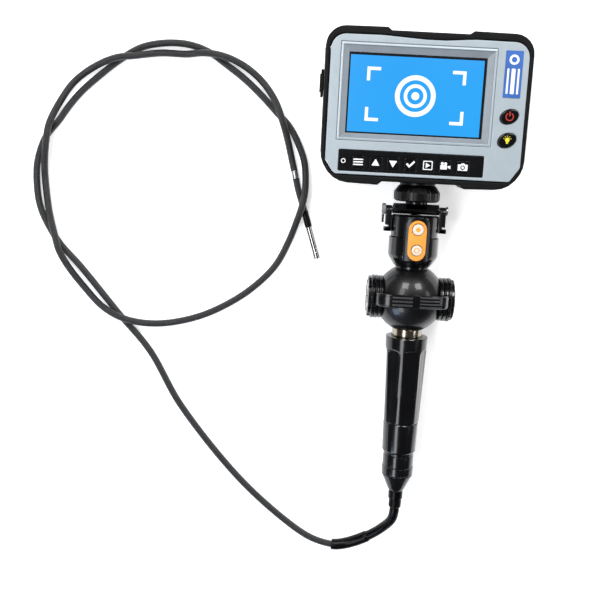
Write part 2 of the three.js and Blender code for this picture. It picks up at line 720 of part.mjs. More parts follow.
add('relief_boot', tube(BOOT_ROUTE, BOOT_R, 10, 14), RUBBER);
add('insertion_tube', tube(ROUTE, CABLE_R, 8, 82), CABLE);
add('probe_band', tube(BAND_AT, CABLE_R + 0.2, 12, 1), STEEL);
add('bend_sleeve', bendSleeve(), CABLE);
add('bend_link_1', atTip(link(LINK_1, 2.9), -LINK_1 - LINK_2), CABLE);
add('bend_link_2', atTip(link(LINK_2, 2.9), -LINK_2), CABLE);
add('tip_body', atTip(turned(TIP, 16), 0), STEEL);
add('tip_lens', atTip(turned(LENS, 12), 0), GLASSY);

// ---------------------------------------------------------------- the object's own frame
// The origin is below the middle of the scope without its cable, on the surface it lies on.
const CABLE_PIECES = [
  'relief_boot', 'insertion_tube', 'probe_band', 'bend_sleeve',
  'bend_link_1', 'bend_link_2', 'tip_body', 'tip_lens',
];
const bounds = new THREE.Box3();
for (const mesh of scope.children) {
  if (!CABLE_PIECES.includes(mesh.name)) bounds.expandByObject(mesh, true);
}
const middle = bounds.getCenter(new THREE.Vector3());
scope.position.set(-middle.x, -middle.y, -FLOOR);

export default scope;
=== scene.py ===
"""A two-way articulating inspection camera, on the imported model's frame.

Shapes are drawn in millimetres about the ball joint's centre, with the handle along Y and the
monitor's face towards +Z. put() takes each finished piece into the frame, in metres.
"""

import math

import bmesh
import bpy
from mathutils import Matrix, Vector


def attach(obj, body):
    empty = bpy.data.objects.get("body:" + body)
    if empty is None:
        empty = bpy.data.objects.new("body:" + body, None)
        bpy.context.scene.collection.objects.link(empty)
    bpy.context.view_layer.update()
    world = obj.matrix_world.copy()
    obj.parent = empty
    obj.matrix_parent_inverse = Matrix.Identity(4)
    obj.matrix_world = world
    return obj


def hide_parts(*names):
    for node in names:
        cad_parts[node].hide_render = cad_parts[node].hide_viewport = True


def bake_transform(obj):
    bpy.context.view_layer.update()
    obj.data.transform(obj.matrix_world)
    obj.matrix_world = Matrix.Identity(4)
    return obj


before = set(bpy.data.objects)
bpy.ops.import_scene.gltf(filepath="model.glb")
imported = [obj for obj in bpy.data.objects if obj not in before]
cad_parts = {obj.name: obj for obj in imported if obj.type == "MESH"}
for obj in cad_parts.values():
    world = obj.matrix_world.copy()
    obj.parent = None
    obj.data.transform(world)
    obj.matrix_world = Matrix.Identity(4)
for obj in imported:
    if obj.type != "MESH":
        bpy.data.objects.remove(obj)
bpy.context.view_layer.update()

SHIFT = Vector((1.2561, -15.8848, 26.8))
TO_FRAME = Matrix.Scale(0.001, 4) @ Matrix.Translation(SHIFT)
FLOOR = -26.8
TAU = 2 * math.pi


def P(x, y, z):
    return TO_FRAME @ Vector((x, y, z))


# ---- camera
view = bpy.data.cameras.new("camera")
view.lens = 57.0
view.sensor_width = 36.0
view.clip_start, view.clip_end = 0.05, 20
camera = bpy.data.objects.new("camera", view)
bpy.context.scene.collection.objects.link(camera)
bpy.context.scene.camera = camera
RIGHT, UP, BACK = (0.99867, 0.05072, -0.00894), (-0.0515, 0.9835, -0.17342), (0, 0.17365, 0.98481)
camera.rotation_mode = "QUATERNION"
camera.rotation_quaternion = Matrix((RIGHT, UP, BACK)).transposed().to_quaternion()
camera.location = P(-93.94, 135.29, 806.36)


# ---- mesh helpers
def evaluated(o):
    """A new mesh of o with its modifiers applied; o is removed."""
    dg = bpy.context.evaluated_depsgraph_get()
    mesh = bpy.data.meshes.new_from_object(o.evaluated_get(dg))
    data = o.data
    bpy.data.objects.remove(o)
    (bpy.data.curves if isinstance(data, bpy.types.Curve) else bpy.data.meshes).remove(data)
    return mesh


def temporary(data):
    o = bpy.data.objects.new("temporary", data)
    bpy.context.scene.collection.objects.link(o)
    return o


def to_mesh(bm, recalculate=True):
    mesh = bpy.data.meshes.new("piece")
    if recalculate:
        bmesh.ops.recalc_face_normals(bm, faces=bm.faces)
    bm.to_mesh(mesh)
    bm.free()
    return mesh


def merge(*parts):
    """One mesh of several; a part given as (mesh, n) takes material n."""
    bm = bmesh.new()
    for part in parts:
        mesh, index = part if isinstance(part, tuple) else (part, None)
        start = len(bm.faces)
        bm.from_mesh(mesh)
        bm.faces.ensure_lookup_table()
        if index is not None:
            for face in bm.faces[start:]:
                face.material_index = index
        bpy.data.meshes.remove(mesh)
    return to_mesh(bm, recalculate=False)


def moved(mesh, x=0, y=0, z=0):
    mesh.transform(Matrix.Translation((x, y, z)))
    return mesh


def cut(mesh, *cutters):
    body, tool = temporary(mesh), temporary(merge(*cutters))
    change = body.modifiers.new("cut", "BOOLEAN")
    change.operation, change.solver, change.object = "DIFFERENCE", "EXACT", tool
    result = evaluated(body)
    tool_mesh = tool.data
    bpy.data.objects.remove(tool)
    bpy.data.meshes.remove(tool_mesh)
    return result


def rounded(points):
    """The points as 2-D vectors, with an arc at each that has a third number, its radius."""
    out, n = [], len(points)
    for i, p in enumerate(points):
        here = Vector(p[:2])
        radius = p[2] if len(p) > 2 else 0
        if radius <= 0:
            out.append(here)
            continue
        a, b = Vector(points[i - 1][:2]) - here, Vector(points[(i + 1) % n][:2]) - here
        u, v = a.normalized(), b.normalized()
        inside = u.angle(v)
        if inside > math.pi - 0.02:
            out.append(here)
            continue
        reach = min(radius / math.tan(inside / 2), 0.49 * a.length, 0.49 * b.length)
        radius = reach * math.tan(inside / 2)
        centre = here + (u + v).normalized() * radius / math.sin(inside / 2)
        start = here + u * reach - centre
        end = here + v * reach - centre
        sweep = math.copysign(math.pi - inside, start.x * end.y - start.y * end.x)
        steps = max(2, math.ceil(abs(sweep) / 0.3))
        for k in range(steps + 1):
            t = sweep * k / steps
            c, s = math.cos(t), math.sin(t)
            out.append(centre + Vector((start.x * c - start.y * s, start.x * s + start.y * c)))
    return out


def grown(points, d):
    """An outline moved out by d along every edge; corner radii are kept."""
    out, n = [], len(points)
    for i, p in enumerate(points):
        here = Vector(p[:2])
        u = (here - Vector(points[i - 1][:2])).normalized()
        v = (Vector(points[(i + 1) % n][:2]) - here).normalized()
        nu, nv = Vector((u.y, -u.x)), Vector((v.y, -v.x))
        q = here + (nu + nv) * (d / (1 + nu.dot(nv)))
        out.append((q.x, q.y, p[2] if len(p) > 2 else 0))
    return out


def plate(outline, z0, z1, bevel=0.3, holes=(), resolution=2):
    """A plate between two heights from rounded outlines, with its edges rounded by bevel."""
    curve = bpy.data.curves.new("plate", "CURVE")
    curve.dimensions, curve.fill_mode = "2D", "BOTH"
    for i, loop in enumerate([outline, *holes]):
        points = rounded(loop)
        area = sum(p.x * q.y - q.x * p.y for p, q in zip(points, points[1:] + points[:1]))
        if (area > 0) != (i == 0):
            points.reverse()
        spline = curve.splines.new("POLY")
        spline.points.add(len(points) - 1)
        for q, p in zip(spline.points, points):
            q.co = (p.x, p.y, 0, 1)
        spline.use_cyclic_u = True
    curve.extrude = (z1 - z0) / 2 - bevel
    curve.bevel_depth, curve.bevel_resolution, curve.offset = bevel, resolution, -bevel
    mesh = evaluated(temporary(curve))
    bm = bmesh.new()
    bm.from_mesh(mesh)
    bpy.data.meshes.remove(mesh)
    bmesh.ops.remove_doubles(bm, verts=bm.verts, dist=1e-4)
    mesh = to_mesh(bm)
    return moved(mesh, z=(z0 + z1) / 2)


def rect(x0, x1, y0, y1, r=0.0):
    return [(x0, y0, r), (x1, y0, r), (x1, y1, r), (x0, y1, r)]


def circle(x, y, r, n=32):
    return [(x + r * math.cos(TAU * i / n), y + r * math.sin(TAU * i / n)) for i in range(n)]


def ellipse(x, y, a, b, tilt, n=48):
    c, s = math.cos(tilt), math.sin(tilt)
    turn = [(a * math.cos(TAU * i / n), b * math.sin(TAU * i / n)) for i in range(n)]
    return [(x + u * c - v * s, y + u * s + v * c) for u, v in turn]


def block(x0, x1, y0, y1, z0, z1, bevel=0.0, r=0.0):
    return plate(rect(x0, x1, y0, y1, r), z0, z1, bevel)


SWAP_YZ = Matrix(((1, 0, 0, 0), (0, 0, 1, 0), (0, 1, 0, 0), (0, 0, 0, 1)))
CYCLE = Matrix(((0, 0, 1, 0), (1, 0, 0, 0), (0, 1, 0, 0), (0, 0, 0, 1)))  # gives (z, x, y)
BACK_CYCLE = Matrix(((0, 1, 0, 0), (0, 0, 1, 0), (1, 0, 0, 0), (0, 0, 0, 1)))  # gives (y, z, x)


def lathe(profile, axis="Y", segments=96, shape=None, arc=(0, TAU)):
    """A turned piece from (radius, place[, corner radius]) points; shape(angle, place, r) may
    change r. Angle 0 is towards +Z on the Y axis, -Z on the X axis and +X on the Z axis."""
    points = rounded(profile)
    full = abs(arc[1] - arc[0] - TAU) < 1e-6
    bm = bmesh.new()
    angles = [arc[0] + (arc[1] - arc[0]) * i / segments for i in range(segments + (0 if full else 1))]
    rings = []
    for p in points:
        if p.x < 1e-6:
            v = bm.verts.new((0, p.y, 0))
            rings.append([v] * len(angles))
            continue
        ring = []
        for a in angles:
            r = shape(a, p.y, p.x) if shape else p.x
            ring.append(bm.verts.new((r * math.sin(a), p.y, r * math.cos(a))))
        rings.append(ring)
    n = len(angles)
    for one, two in zip(rings, rings[1:] + rings[:1]):
        for i in range(n if full else n - 1):
            j = (i + 1) % n
            corners = list(dict.fromkeys([one[i], one[j], two[j], two[i]]))
            if len(corners) > 2:
                bm.faces.new(corners)
    if not full:
        for i in (0, -1):
            ends = list(dict.fromkeys(ring[i] for ring in rings))
            bm.faces.new(ends)
    mesh = to_mesh(bm)
    if axis == "X":
        mesh.transform(BACK_CYCLE)
        mesh.transform(Matrix.Rotation(-math.pi / 2, 4, "X"))
    if axis == "Z":
        mesh.transform(CYCLE)
    return mesh


def mirrored(mesh):
    mesh.transform(Matrix.Scale(-1, 4, (1, 0, 0)))
    mesh.flip_normals()
    return mesh


def wrapped(mesh, radius, step=0.8):
    """A plate bent round the Y axis: its z = 0 lies on the radius, and x runs round it."""
    bm = bmesh.new()
    bm.from_mesh(mesh)
    bpy.data.meshes.remove(mesh)
    reach = max(abs(v.co.x) for v in bm.verts)
    for i in range(-int(reach / step), int(reach / step) + 1):
        everything = [*bm.verts, *bm.edges, *bm.faces]
        bmesh.ops.bisect_plane(bm, geom=everything, plane_co=(i * step + 0.013, 0, 0), plane_no=(1, 0, 0))
    for v in bm.verts:
        a = v.co.x / radius
        r = radius + v.co.z
        v.co = (r * math.sin(a), v.co.y, r * math.cos(a))
    return to_mesh(bm)


def route(points, step):
    """Points about step apart on the centripetal Catmull-Rom curve through the given ones."""
    p = [Vector(q) for q in points]
    p = [2 * p[0] - p[1], *p, 2 * p[-1] - p[-2]]
    dense = []
    for a, b, c, d in zip(p, p[1:], p[2:], p[3:]):
        da, db, dc = ((v - u).length ** 0.5 for u, v in ((a, b), (b, c), (c, d)))
        s = ((b - a) / da - (c - a) / (da + db) + (c - b) / db) * db
        e = ((c - b) / db - (d - b) / (db + dc) + (d - c) / dc) * db
        n = max(6, int((c - b).length * 2))
        for i in range(n):
            t = i / n
            dense.append(b + s * t + (3 * (c - b) - 2 * s - e) * t * t + (2 * (b - c) + s + e) * t**3)
    dense.append(p[-2])
    along = [0.0]
    for u, v in zip(dense, dense[1:]):
        along.append(along[-1] + (v - u).length)
    count = max(2, round(along[-1] / step))
    out, k = [], 0
    for i in range(count + 1):
        s = along[-1] * i / count
        while k < len(along) - 2 and along[k + 1] < s:
            k += 1
        t = (s - along[k]) / (along[k + 1] - along[k])
        out.append(dense[k].lerp(dense[k + 1], min(1, t)))
    return out


def tube(points, radius, sides):
    """A capped tube; radius is a number or a function of the distance along it. Its UVs run round
    once, and along it in the same units."""
    size = radius if callable(radius) else (lambda s: radius)
    bm = bmesh.new()
    uv = bm.loops.layers.uv.new("UVMap")
    tangents = []
    for i in range(len(points)):
        tangents.append((points[min(i + 1, len(points) - 1)] - points[max(i - 1, 0)]).normalized())
    side = tangents[0].orthogonal().normalized()
    rings, s = [], 0.0
    for i, (p, t) in enumerate(zip(points, tangents)):
        if i:
            side = (tangents[i - 1].rotation_difference(t) @ side).normalized()
            s += (p - points[i - 1]).length
        other = t.cross(side)
        r = size(s)
        ring = []
        for j in range(sides):
            a = TAU * j / sides
            ring.append(bm.verts.new(p + r * (math.cos(a) * side + math.sin(a) * other)))
        rings.append((ring, s / (TAU * size(0.0))))
    for (one, v0), (two, v1) in zip(rings, rings[1:]):
        for j in range(sides):
            k = (j + 1) % sides
            face = bm.faces.new((one[j], one[k], two[k], two[j]))
            for loop, c in zip(face.loops, ((j, v0), (j + 1, v0), (j + 1, v1), (j, v1))):
                loop[uv].uv = (c[0] / sides, c[1])
    bm.faces.new(list(reversed(rings[0][0])))
    bm.faces.new(rings[-1][0])
    return to_mesh(bm, recalculate=False)


def put(name, mesh, materials, body="handle", nodes=None, slot=None, angle=32, flat=False):
    """Takes a finished mesh into the frame as the piece v_name, riding on a body. It replaces the
    CAD node of its own name, or the given ones; a slot is looked up, from its first material unless given, but not set
    on the piece."""
    nodes = [name] if nodes is None else nodes
    materials = materials if isinstance(materials, list) else [materials]
    slot = slot or SLOTS[materials[0].name]
    mesh.transform(TO_FRAME)
    mesh.shade_smooth()
    mesh.set_sharp_from_angle(angle=math.radians(angle))
    for m in materials:
        mesh.materials.append(m)
    mesh.name = "v_" + name
    o = bpy.data.objects.new("v_" + name, mesh)
    bpy.context.scene.collection.objects.link(o)
    if flat:
        o.modifiers.new("normals", "WEIGHTED_NORMAL").keep_sharp = True
    if body:
        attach(o, body)
    if nodes:
        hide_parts(*nodes)
    return o


# ---- materials
class Finish:
    """A Principled material and the nodes that drive it, in object coordinates (metres)."""

    def __init__(self, name, color, roughness, metallic=0.0, coat=0.0, coat_roughness=0.04, specular=0.5):
        self.material = bpy.data.materials.new(name)
        self.material.use_nodes = True
        self.tree = self.material.node_tree
        self.shader = self.tree.nodes["Principled BSDF"]
        self.color, self.roughness = color, roughness
        inputs = self.shader.inputs
        inputs["Base Color"].default_value = (*color, 1)
        inputs["Roughness"].default_value = roughness
        inputs["Metallic"].default_value = metallic
        inputs["Coat Weight"].default_value = coat
        inputs["Coat Roughness"].default_value = coat_roughness
        inputs["Specular IOR Level"].default_value = specular
        self.where = self.node("ShaderNodeTexCoord").outputs["Object"]
        self.normal = None

    def node(self, kind, inputs=(), **settings):
        n = self.tree.nodes.new(kind)
        for key, value in settings.items():
            setattr(n, key, value)
        for key, value in dict(inputs).items():
            if isinstance(value, bpy.types.NodeSocket):
                self.tree.links.new(value, n.inputs[key])
            else:
                n.inputs[key].default_value = value
        return n

    def math(self, operation, a, b=0.0, c=0.0):
        return self.node("ShaderNodeMath", {0: a, 1: b, 2: c}, operation=operation).outputs[0]

    def stretched(self, scale):
        return self.node("ShaderNodeMapping", {"Vector": self.where, "Scale": scale}).outputs[0]

    def noise(self, scale, detail=3.0, where=None):
        inputs = {"Vector": where or self.where, "Scale": scale, "Detail": detail}
        return self.node("ShaderNodeTexNoise", inputs).outputs["Fac"]

    def span(self, value, low, high, start=0.3, end=0.7):
        return self.node(
            "ShaderNodeMapRange",
            {"Value": value, "From Min": start, "From Max": end, "To Min": low, "To Max": high},
        ).outputs[0]

    def blend(self, share, a, b):
        n = self.node("ShaderNodeMix", data_type="RGBA")
        for socket, value in ((n.inputs[0], share), (n.inputs[6], a), (n.inputs[7], b)):
            if isinstance(value, bpy.types.NodeSocket):
                self.tree.links.new(value, socket)
            else:
                socket.default_value = value if socket is n.inputs[0] else (*value, 1)
        return n.outputs[2]

    def use(self, name, value):
        self.tree.links.new(value, self.shader.inputs[name])
        return self

    def tones(self, scale, amount, detail=4.0, where=None):
        """Soft lighter and darker areas."""
        dark = [c * (1 - amount) for c in self.color]
        light = [min(1.0, c * (1 + amount)) for c in self.color]
        return self.use("Base Color", self.blend(self.span(self.noise(scale, detail, where), 0, 1), dark, light))

    def polish(self, scale, amount, where=None):
        """Slightly duller and glossier areas."""
        low, high = max(0.02, self.roughness - amount), self.roughness + amount
        return self.use("Roughness", self.span(self.noise(scale, 5.0, where), low, high))

    def bump(self, height, distance, strength=1.0):
        inputs = {"Height": height, "Distance": distance, "Strength": strength}
        if self.normal is not None:
            inputs["Normal"] = self.normal
        self.normal = self.node("ShaderNodeBump", inputs).outputs[0]
        return self.use("Normal", self.normal)

    def grain(self, scale, distance, strength=1.0, detail=2.0, where=None):
        return self.bump(self.noise(scale, detail, where), distance, strength)


def rubber(name, color, roughness, grain=2600):
    f = Finish(name, color, roughness, specular=0.14)
    f.tones(55, 0.3).polish(240, 0.07)
    return f.grain(grain, 0.00012, 0.5).grain(420, 0.00012, 0.25).material


def plastic(name, color, roughness, coat, grain=0.00003):
    f = Finish(name, color, roughness, coat=coat, specular=0.35)
    f.tones(38, 0.25).polish(95, 0.04)
    return f.grain(900, grain, 0.35).grain(140, 0.00016, 0.12).material


def metal(name, color, roughness, lines, depth=0.00002):
    """Turned or brushed metal: the fine lines run across the axis with the large number."""
    f = Finish(name, color, roughness, metallic=1.0)
    along = f.stretched(lines)
    f.tones(1.0, 0.1, where=along).polish(60, 0.05)
    return f.grain(1.0, depth, 0.6, where=along).grain(300, 0.00004, 0.15).material


RUBBER = rubber("overmoulded_rubber", (0.0045, 0.0046, 0.005), 0.56)
SOFT_RUBBER = rubber("strain_relief_rubber", (0.0018, 0.0018, 0.002), 0.26, 1800)
GLOSS = plastic("gloss_black_plastic", (0.0018, 0.002, 0.0027), 0.22, 0.4)
PANEL_BLACK = plastic("panel_black", (0.004, 0.0042, 0.005), 0.24, 0.05)
SATIN = plastic("satin_black", (0.003, 0.0031, 0.0038), 0.3, 0.2, 0.00004)
HOUSING = plastic("ball_housing_black", (0.0026, 0.0027, 0.0034), 0.37, 0.35, 0.00004)
LOCK_BLACK = plastic("lock_ring_black", (0.0012, 0.0012, 0.0015), 0.34, 0.0, 0.00003)
# The lever's black plastic made lighter grey for the raised ribs: a painted sheen for the highlights along the rib
# tops.
RIB_SHEEN_BLACK = plastic("rib_black_painted_sheen", (0.035, 0.035, 0.037), 0.36, 0.2)
CLAMP = plastic("clamp_grey", (0.2, 0.205, 0.215), 0.4, 0.1)
NICKEL = metal("polished_nickel", (0.34, 0.3, 0.235), 0.2, (1, 2200, 1), 0.00001)
STEEL = metal("brushed_steel", (0.48, 0.49, 0.5), 0.3, (1, 1500, 1))
DARK_CHROME = metal("dark_chrome", (0.06, 0.062, 0.066), 0.2, (1500, 1, 1), 0.00001)
TIP_STEEL = metal("tip_steel", (0.45, 0.45, 0.455), 0.2, (900, 60, 900), 0.00001)

silver = Finish("bezel_silver_paint", (0.47, 0.52, 0.56), 0.42, metallic=0.2, coat=0.08, coat_roughness=0.3)
flecks = silver.node("ShaderNodeTexVoronoi", {"Vector": silver.where, "Scale": 3200.0}).outputs["Color"]
fleck = silver.node("ShaderNodeSeparateColor", {"Color": flecks}).outputs[0]
silver.use("Base Color", silver.blend(silver.span(fleck, 0, 1, 0, 1), (0.37, 0.425, 0.46), (0.43, 0.49, 0.525)))
silver.polish(120, 0.05).grain(3000, 0.00003, 0.3).grain(160, 0.0002, 0.08)
SILVER = silver.material
# The bezel's silver paint made darker for the screen's sloped walls: painted shade for the recess.
wall = Finish("screen_wall_painted_shade", (0.27, 0.3, 0.325), 0.46, metallic=0.2)
wall.tones(60, 0.06).polish(120, 0.05).grain(3000, 0.00003, 0.3)
SHADED_WALL_SILVER = wall.material

silicone = Finish("orange_silicone", (0.9, 0.35, 0.062), 0.6, specular=0.16)
silicone.shader.inputs["Subsurface Weight"].default_value = 0.12
silicone.shader.inputs["Subsurface Radius"].default_value = (0.002, 0.001, 0.0004)
silicone.tones(180, 0.05).polish(300, 0.06).grain(2400, 0.00006, 0.4)
ORANGE = silicone.material

white = Finish("off_white_plastic", (0.74, 0.66, 0.55), 0.42)
white.tones(220, 0.04).polish(260, 0.06).grain(1600, 0.00004, 0.3)
WHITE = white.material


def ink(name, color, roughness, tone):
    f = Finish(name, color, roughness)
    return f.tones(900, tone).grain(4000, 0.00002, 0.3).material


PRINT = ink("printed_white", (0.8, 0.8, 0.8), 0.5, 0.06)
PRINT_RED = ink("printed_red", (0.42, 0.03, 0.018), 0.45, 0.12)
PRINT_YELLOW = ink("printed_yellow", (0.72, 0.62, 0.04), 0.45, 0.12)

label = Finish("label_blue_film", (0.045, 0.135, 0.43), 0.34, coat=0.3)
label.tones(60, 0.1).polish(150, 0.05).grain(2500, 0.00002, 0.3)
LABEL = label.material

border = Finish("display_border", (0.006, 0.007, 0.01), 0.14, coat=0.8, coat_roughness=0.03)
border.tones(40, 0.2).polish(60, 0.03).grain(700, 0.00001, 0.2)
BORDER = border.material

display = Finish("display_blue", (0.0, 0.004, 0.02), 0.3, coat=0.0, specular=0.25)
cells = display.node("ShaderNodeTexChecker", {"Vector": display.where, "Scale": 2600.0}).outputs["Fac"]
sky = display.blend(display.span(display.noise(9, 1.0), 0, 1), (0.024, 0.38, 0.98), (0.032, 0.43, 1.0))
display.use("Emission Color", display.blend(display.span(cells, 0, 0.12, 0, 1), sky, (0.01, 0.2, 0.6)))
display.shader.inputs["Emission Strength"].default_value = 0.95
DISPLAY = display.material

lit = Finish("display_white", (0.1, 0.1, 0.1), 0.3, specular=0.25)
lit.use("Emission Color", lit.blend(lit.span(lit.noise(500, 2.0), 0, 1), (0.9, 0.95, 1.0), (1.0, 1.0, 1.0)))
lit.shader.inputs["Emission Strength"].default_value = 1.0
LIT = lit.material

lens = Finish("lens_glass", (0.012, 0.013, 0.02), 0.04, coat=1.0, coat_roughness=0.01)
lens.tones(400, 0.5).polish(500, 0.02).grain(900, 0.000004, 0.2)
LENS = lens.material

board = Finish("circuit_board", (0.012, 0.1, 0.04), 0.42, coat=0.3)
tracks = board.node("ShaderNodeTexBrick", {"Vector": board.where, "Scale": 260.0, "Mortar Size": 0.06}).outputs["Fac"]
board.use("Base Color", board.blend(tracks, (0.012, 0.1, 0.04), (0.04, 0.2, 0.09)))
board.polish(300, 0.08).bump(tracks, 0.00006, 0.6)
BOARD = board.material

cell = Finish("battery_wrap", (0.05, 0.055, 0.065), 0.4)
cell.tones(70, 0.2).polish(140, 0.08).grain(220, 0.0003, 0.2)
CELL = cell.material

# A satin woven sheath: two sets of strands cross at right angles round the tube.
woven = Finish("woven_sheath", (0.006, 0.006, 0.007), 0.36, specular=0.5)
uv = woven.node("ShaderNodeSeparateXYZ", {0: woven.node("ShaderNodeTexCoord").outputs["UV"]}).outputs
strands = []
for sign in (1.0, -1.0):
    turns = woven.math("MULTIPLY_ADD", uv[1], sign, uv[0])
    strands.append(woven.math("SINE", woven.math("MULTIPLY", turns, TAU * 18)))
weave = woven.math("MAXIMUM", *strands)
shade = woven.blend(woven.span(weave, 0, 1, 0.0, 1.0), (0.0016, 0.0016, 0.002), (0.0095, 0.0097, 0.0106))
woven.use("Base Color", shade)
woven.polish(420, 0.08).bump(weave, 0.00018, 0.5).grain(2200, 0.00005, 0.3)
WOVEN = woven.material

SLOTS = {
    material.name: slot
    for slot, group in {
        "gloss_black": (GLOSS, PANEL_BLACK), "satin_black": (SATIN, HOUSING, LOCK_BLACK),
        "rubber": (RUBBER, SOFT_RUBBER), "steel": (STEEL, TIP_STEEL, DARK_CHROME), "nickel": (NICKEL,),
        "cable": (WOVEN,), "orange": (ORANGE,), "white": (WHITE, LIT), "bezel_silver": (SILVER,),
        "glass": (BORDER,), "screen": (DISPLAY,), "label": (LABEL,),
    }.items()
    for material in group
}

# ---- cable
BOOT_ROUTE = [
    (0, -190.5, 26.8), (-0.1, -194, 26.8), (-1.5, -203, 24), (-8.4, -214.4, 16.8), (-20.8, -226.2, 10),
    (-38, -235.6, 6), (-50, -238.4, 5.3),
]
CABLE_ROUTE = [
    (-58, -238, 4.2), (-72, -234, 3.5), (-92, -222, 3.1), (-140, -181, 3.1), (-197, -113, 3.1),
    (-226, -64, 3.1), (-255, -31, 3.1), (-289, 9, 3.1), (-307, 28, 3.1), (-317, 43, 3.1), (-325, 61, 3.1),
    (-328, 83, 3.1), (-327, 101, 3.1), (-320, 121, 3.1), (-309, 135, 3.1), (-300, 148, 3.1),
    (-290, 160, 3.1), (-276, 173, 3.1), (-259, 187, 3.1), (-240, 199, 3.1), (-219, 204, 3.1),
    (-198, 203.5, 3.1), (-181, 198, 3.1), (-167, 189, 3.1), (-150, 177, 3.1), (-134, 163, 3.1),
    (-121, 150, 3.1), (-111, 140, 3.1), (-103, 127, 3.1), (-96.5, 111, 4.2), (-94.5, 97, 7.4),
    (-94.5, 84, 9.9), (-96.5, 72, 10.1), (-100, 60, 8.8), (-106, 42, 4.6), (-117, 19, 3.1),
    (-134, 0, 3.1), (-155, -16, 3.1), (-182, -30, 3.1), (-213, -38, 4.2), (-236, -37.5, 8.2),
    (-253, -33, 10), (-269, -24.5, 7.6), (-286, -8, 4.8), (-299, 9, 7.2), (-306.5, 23, 9.9),
    (-310.5, 37, 9.9), (-316, 56, 6.6), (-320, 79, 3.4), (-320.5, 97, 5.8), (-318.5, 115, 9.7),
    (-316, 131, 9.8), (-308, 150, 5.6), (-296, 168, 3.4), (-277, 182, 6.4), (-259, 189.5, 9.8),
    (-243, 192, 8.8), (-222, 195.5, 4.3), (-201, 195.5, 5.4), (-184, 197, 9.6), (-168, 195, 9.6),
    (-151, 188, 4.9), (-136, 176.5, 4.9), (-124, 161, 9.4), (-117, 145, 10), (-111.5, 128, 6.2),
    (-107, 111, 3.6), (-104.4, 101.6, 3.3), (-102.5, 94.3, 3.3),
]
BEND_ROUTE = [(-102.5, 94.3, 3.3), (-100.4, 86, 3.1), (-98, 79, 3.1), (-95.9, 73, 3.1), (-94.4, 68.4, 3.1)]
TIP_DIR = Vector((0.309, -0.951, 0)).normalized()
TIP_AT = Vector((-90, 55.3, FLOOR + 3.1))


def on_floor(points):
    return [Vector((x, y, FLOOR + h)) for x, y, h in points]


def at_tip(s):
    return TIP_AT + TIP_DIR * s


line = route(on_floor(BOOT_ROUTE + CABLE_ROUTE), 2.5)
cable = put("insertion_tube", tube(line, 2.96, 24), WOVEN)


def boot_radius(s):
    """A second sleeve, shrunk over the far half, makes it thicker there."""
    if s < 47:
        return 4.35
    return 5.15 - 0.8 * max(0.0, 1 - (s - 47) / 1.5) ** 2 - 0.25 * max(0.0, (s - 60) / 24)


boot_line = route(on_floor(BOOT_ROUTE + CABLE_ROUTE[:1]), 1.2)[:-4]
boot = put("relief_boot", tube(boot_line, boot_radius, 32), SOFT_RUBBER)

bend_line = route(on_floor(BEND_ROUTE) + [at_tip(s) for s in (-12.5, -10.5)], 1.0)
sleeve = put("bend_sheath", tube(bend_line, 2.86, 24), WOVEN, "handle", ["bend_sleeve"])


def laid(mesh, place, direction):
    """A piece turned about Y, moved so that its axis runs in a direction through a place."""
    quat = Vector((0, 1, 0)).rotation_difference(direction)
    mesh.transform(Matrix.Translation(place) @ quat.to_matrix().to_4x4())
    return mesh


band_ring = lathe(
    [(2.6, -3.4), (3.05, -3.4, 0.1), (3.2, -3.1, 0.1), (3.2, 3.1, 0.1), (3.05, 3.4, 0.1), (2.6, 3.4)],
    segments=48,
)
band = put("probe_band", laid(band_ring, line[-3], (line[-2] - line[-4]).normalized()), STEEL)

# The smooth end collar of the bending section, in three lengths, each across one pivot.
COLLAR, COLLAR_STEPS = 3.02, 24


def collar_start(s):
    return COLLAR if s > 0.8 else COLLAR - 0.35 + 0.35 * math.sin(math.pi / 2 * s / 0.8)


def collar_end(s):
    return COLLAR if s < 3.6 else COLLAR - 0.25 * min(1, (s - 3.6) / 0.6)


for name, a, b, (s0, s1), pivot, reach, nodes, radius in (
    ("bend_cover_1", "handle", "bend_link_1", (-13.4, -8.25), -10.5, (2.0, 2.0), ["bend_link_1"], collar_start),
    ("bend_cover_2", "bend_link_1", "bend_link_2", (-8.25, -3.0), -6.0, (1.8, 2.2), ["bend_link_2"], COLLAR),
    ("bend_cover_3", "bend_link_2", "tip", (-3.0, 1.3), 0.0, (2.4, 0.9), [], collar_end),
):
    spots = [at_tip(s0 + (s1 - s0) * i / COLLAR_STEPS) for i in range(COLLAR_STEPS + 1)]
    o = put(name, tube(spots, radius, 32), SOFT_RUBBER, None, nodes, slot="cable", angle=60)
    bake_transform(o)

tip = put(
    "tip_body",
    laid(lathe([
        (0.4, 0.6), (2.4, 0.6, 0.1), (2.8, 1.0, 0.15), (2.8, 9.6, 0.05), (2.68, 9.75), (2.68, 10.0),
        (2.8, 10.15, 0.05), (2.8, 24, 0.1), (2.95, 24.3, 0.1), (2.95, 29.6, 0.25), (2.6, 30, 0.1),
        (2.15, 30, 0.05), (2.1, 29.0), (0.4, 29.0),
    ], segments=64), TIP_AT, TIP_DIR),
    TIP_STEEL, "tip",
)
face = [(lathe([(0, 29.1), (2.08, 29.1), (2.08, 29.55, 0.05), (0, 29.55)], segments=48), 0)]
face.append((lathe([(0, 29.5), (0.85, 29.5), (0.85, 29.75, 0.05), (0.6, 29.8), (0, 29.68)], segments=32), 1))
for k in range(6):
    a = TAU * k / 6
    spot = lathe([(0, 29.5), (0.3, 29.5), (0.3, 29.66, 0.03), (0, 29.7)], segments=16)
    face.append((moved(spot, 1.45 * math.cos(a), 0, 1.45 * math.sin(a)), 2))
tip_lens = put("tip_lens", laid(merge(*face), TIP_AT, TIP_DIR), [SATIN, LENS, WHITE], "tip", slot="glass")

# ---- grip
GRIP_TOP, GRIP_SEAM, GRIP_BORE, FLUTES = -33.3, -110.0, 11, 7
RIDGE, RIDGE_GROWTH = 0.06, 0.085  # half a ridge, as a share of a flute, and what it gains


def grip_radius(y):
    return 18.2 + (y - GRIP_TOP) * 0.0338


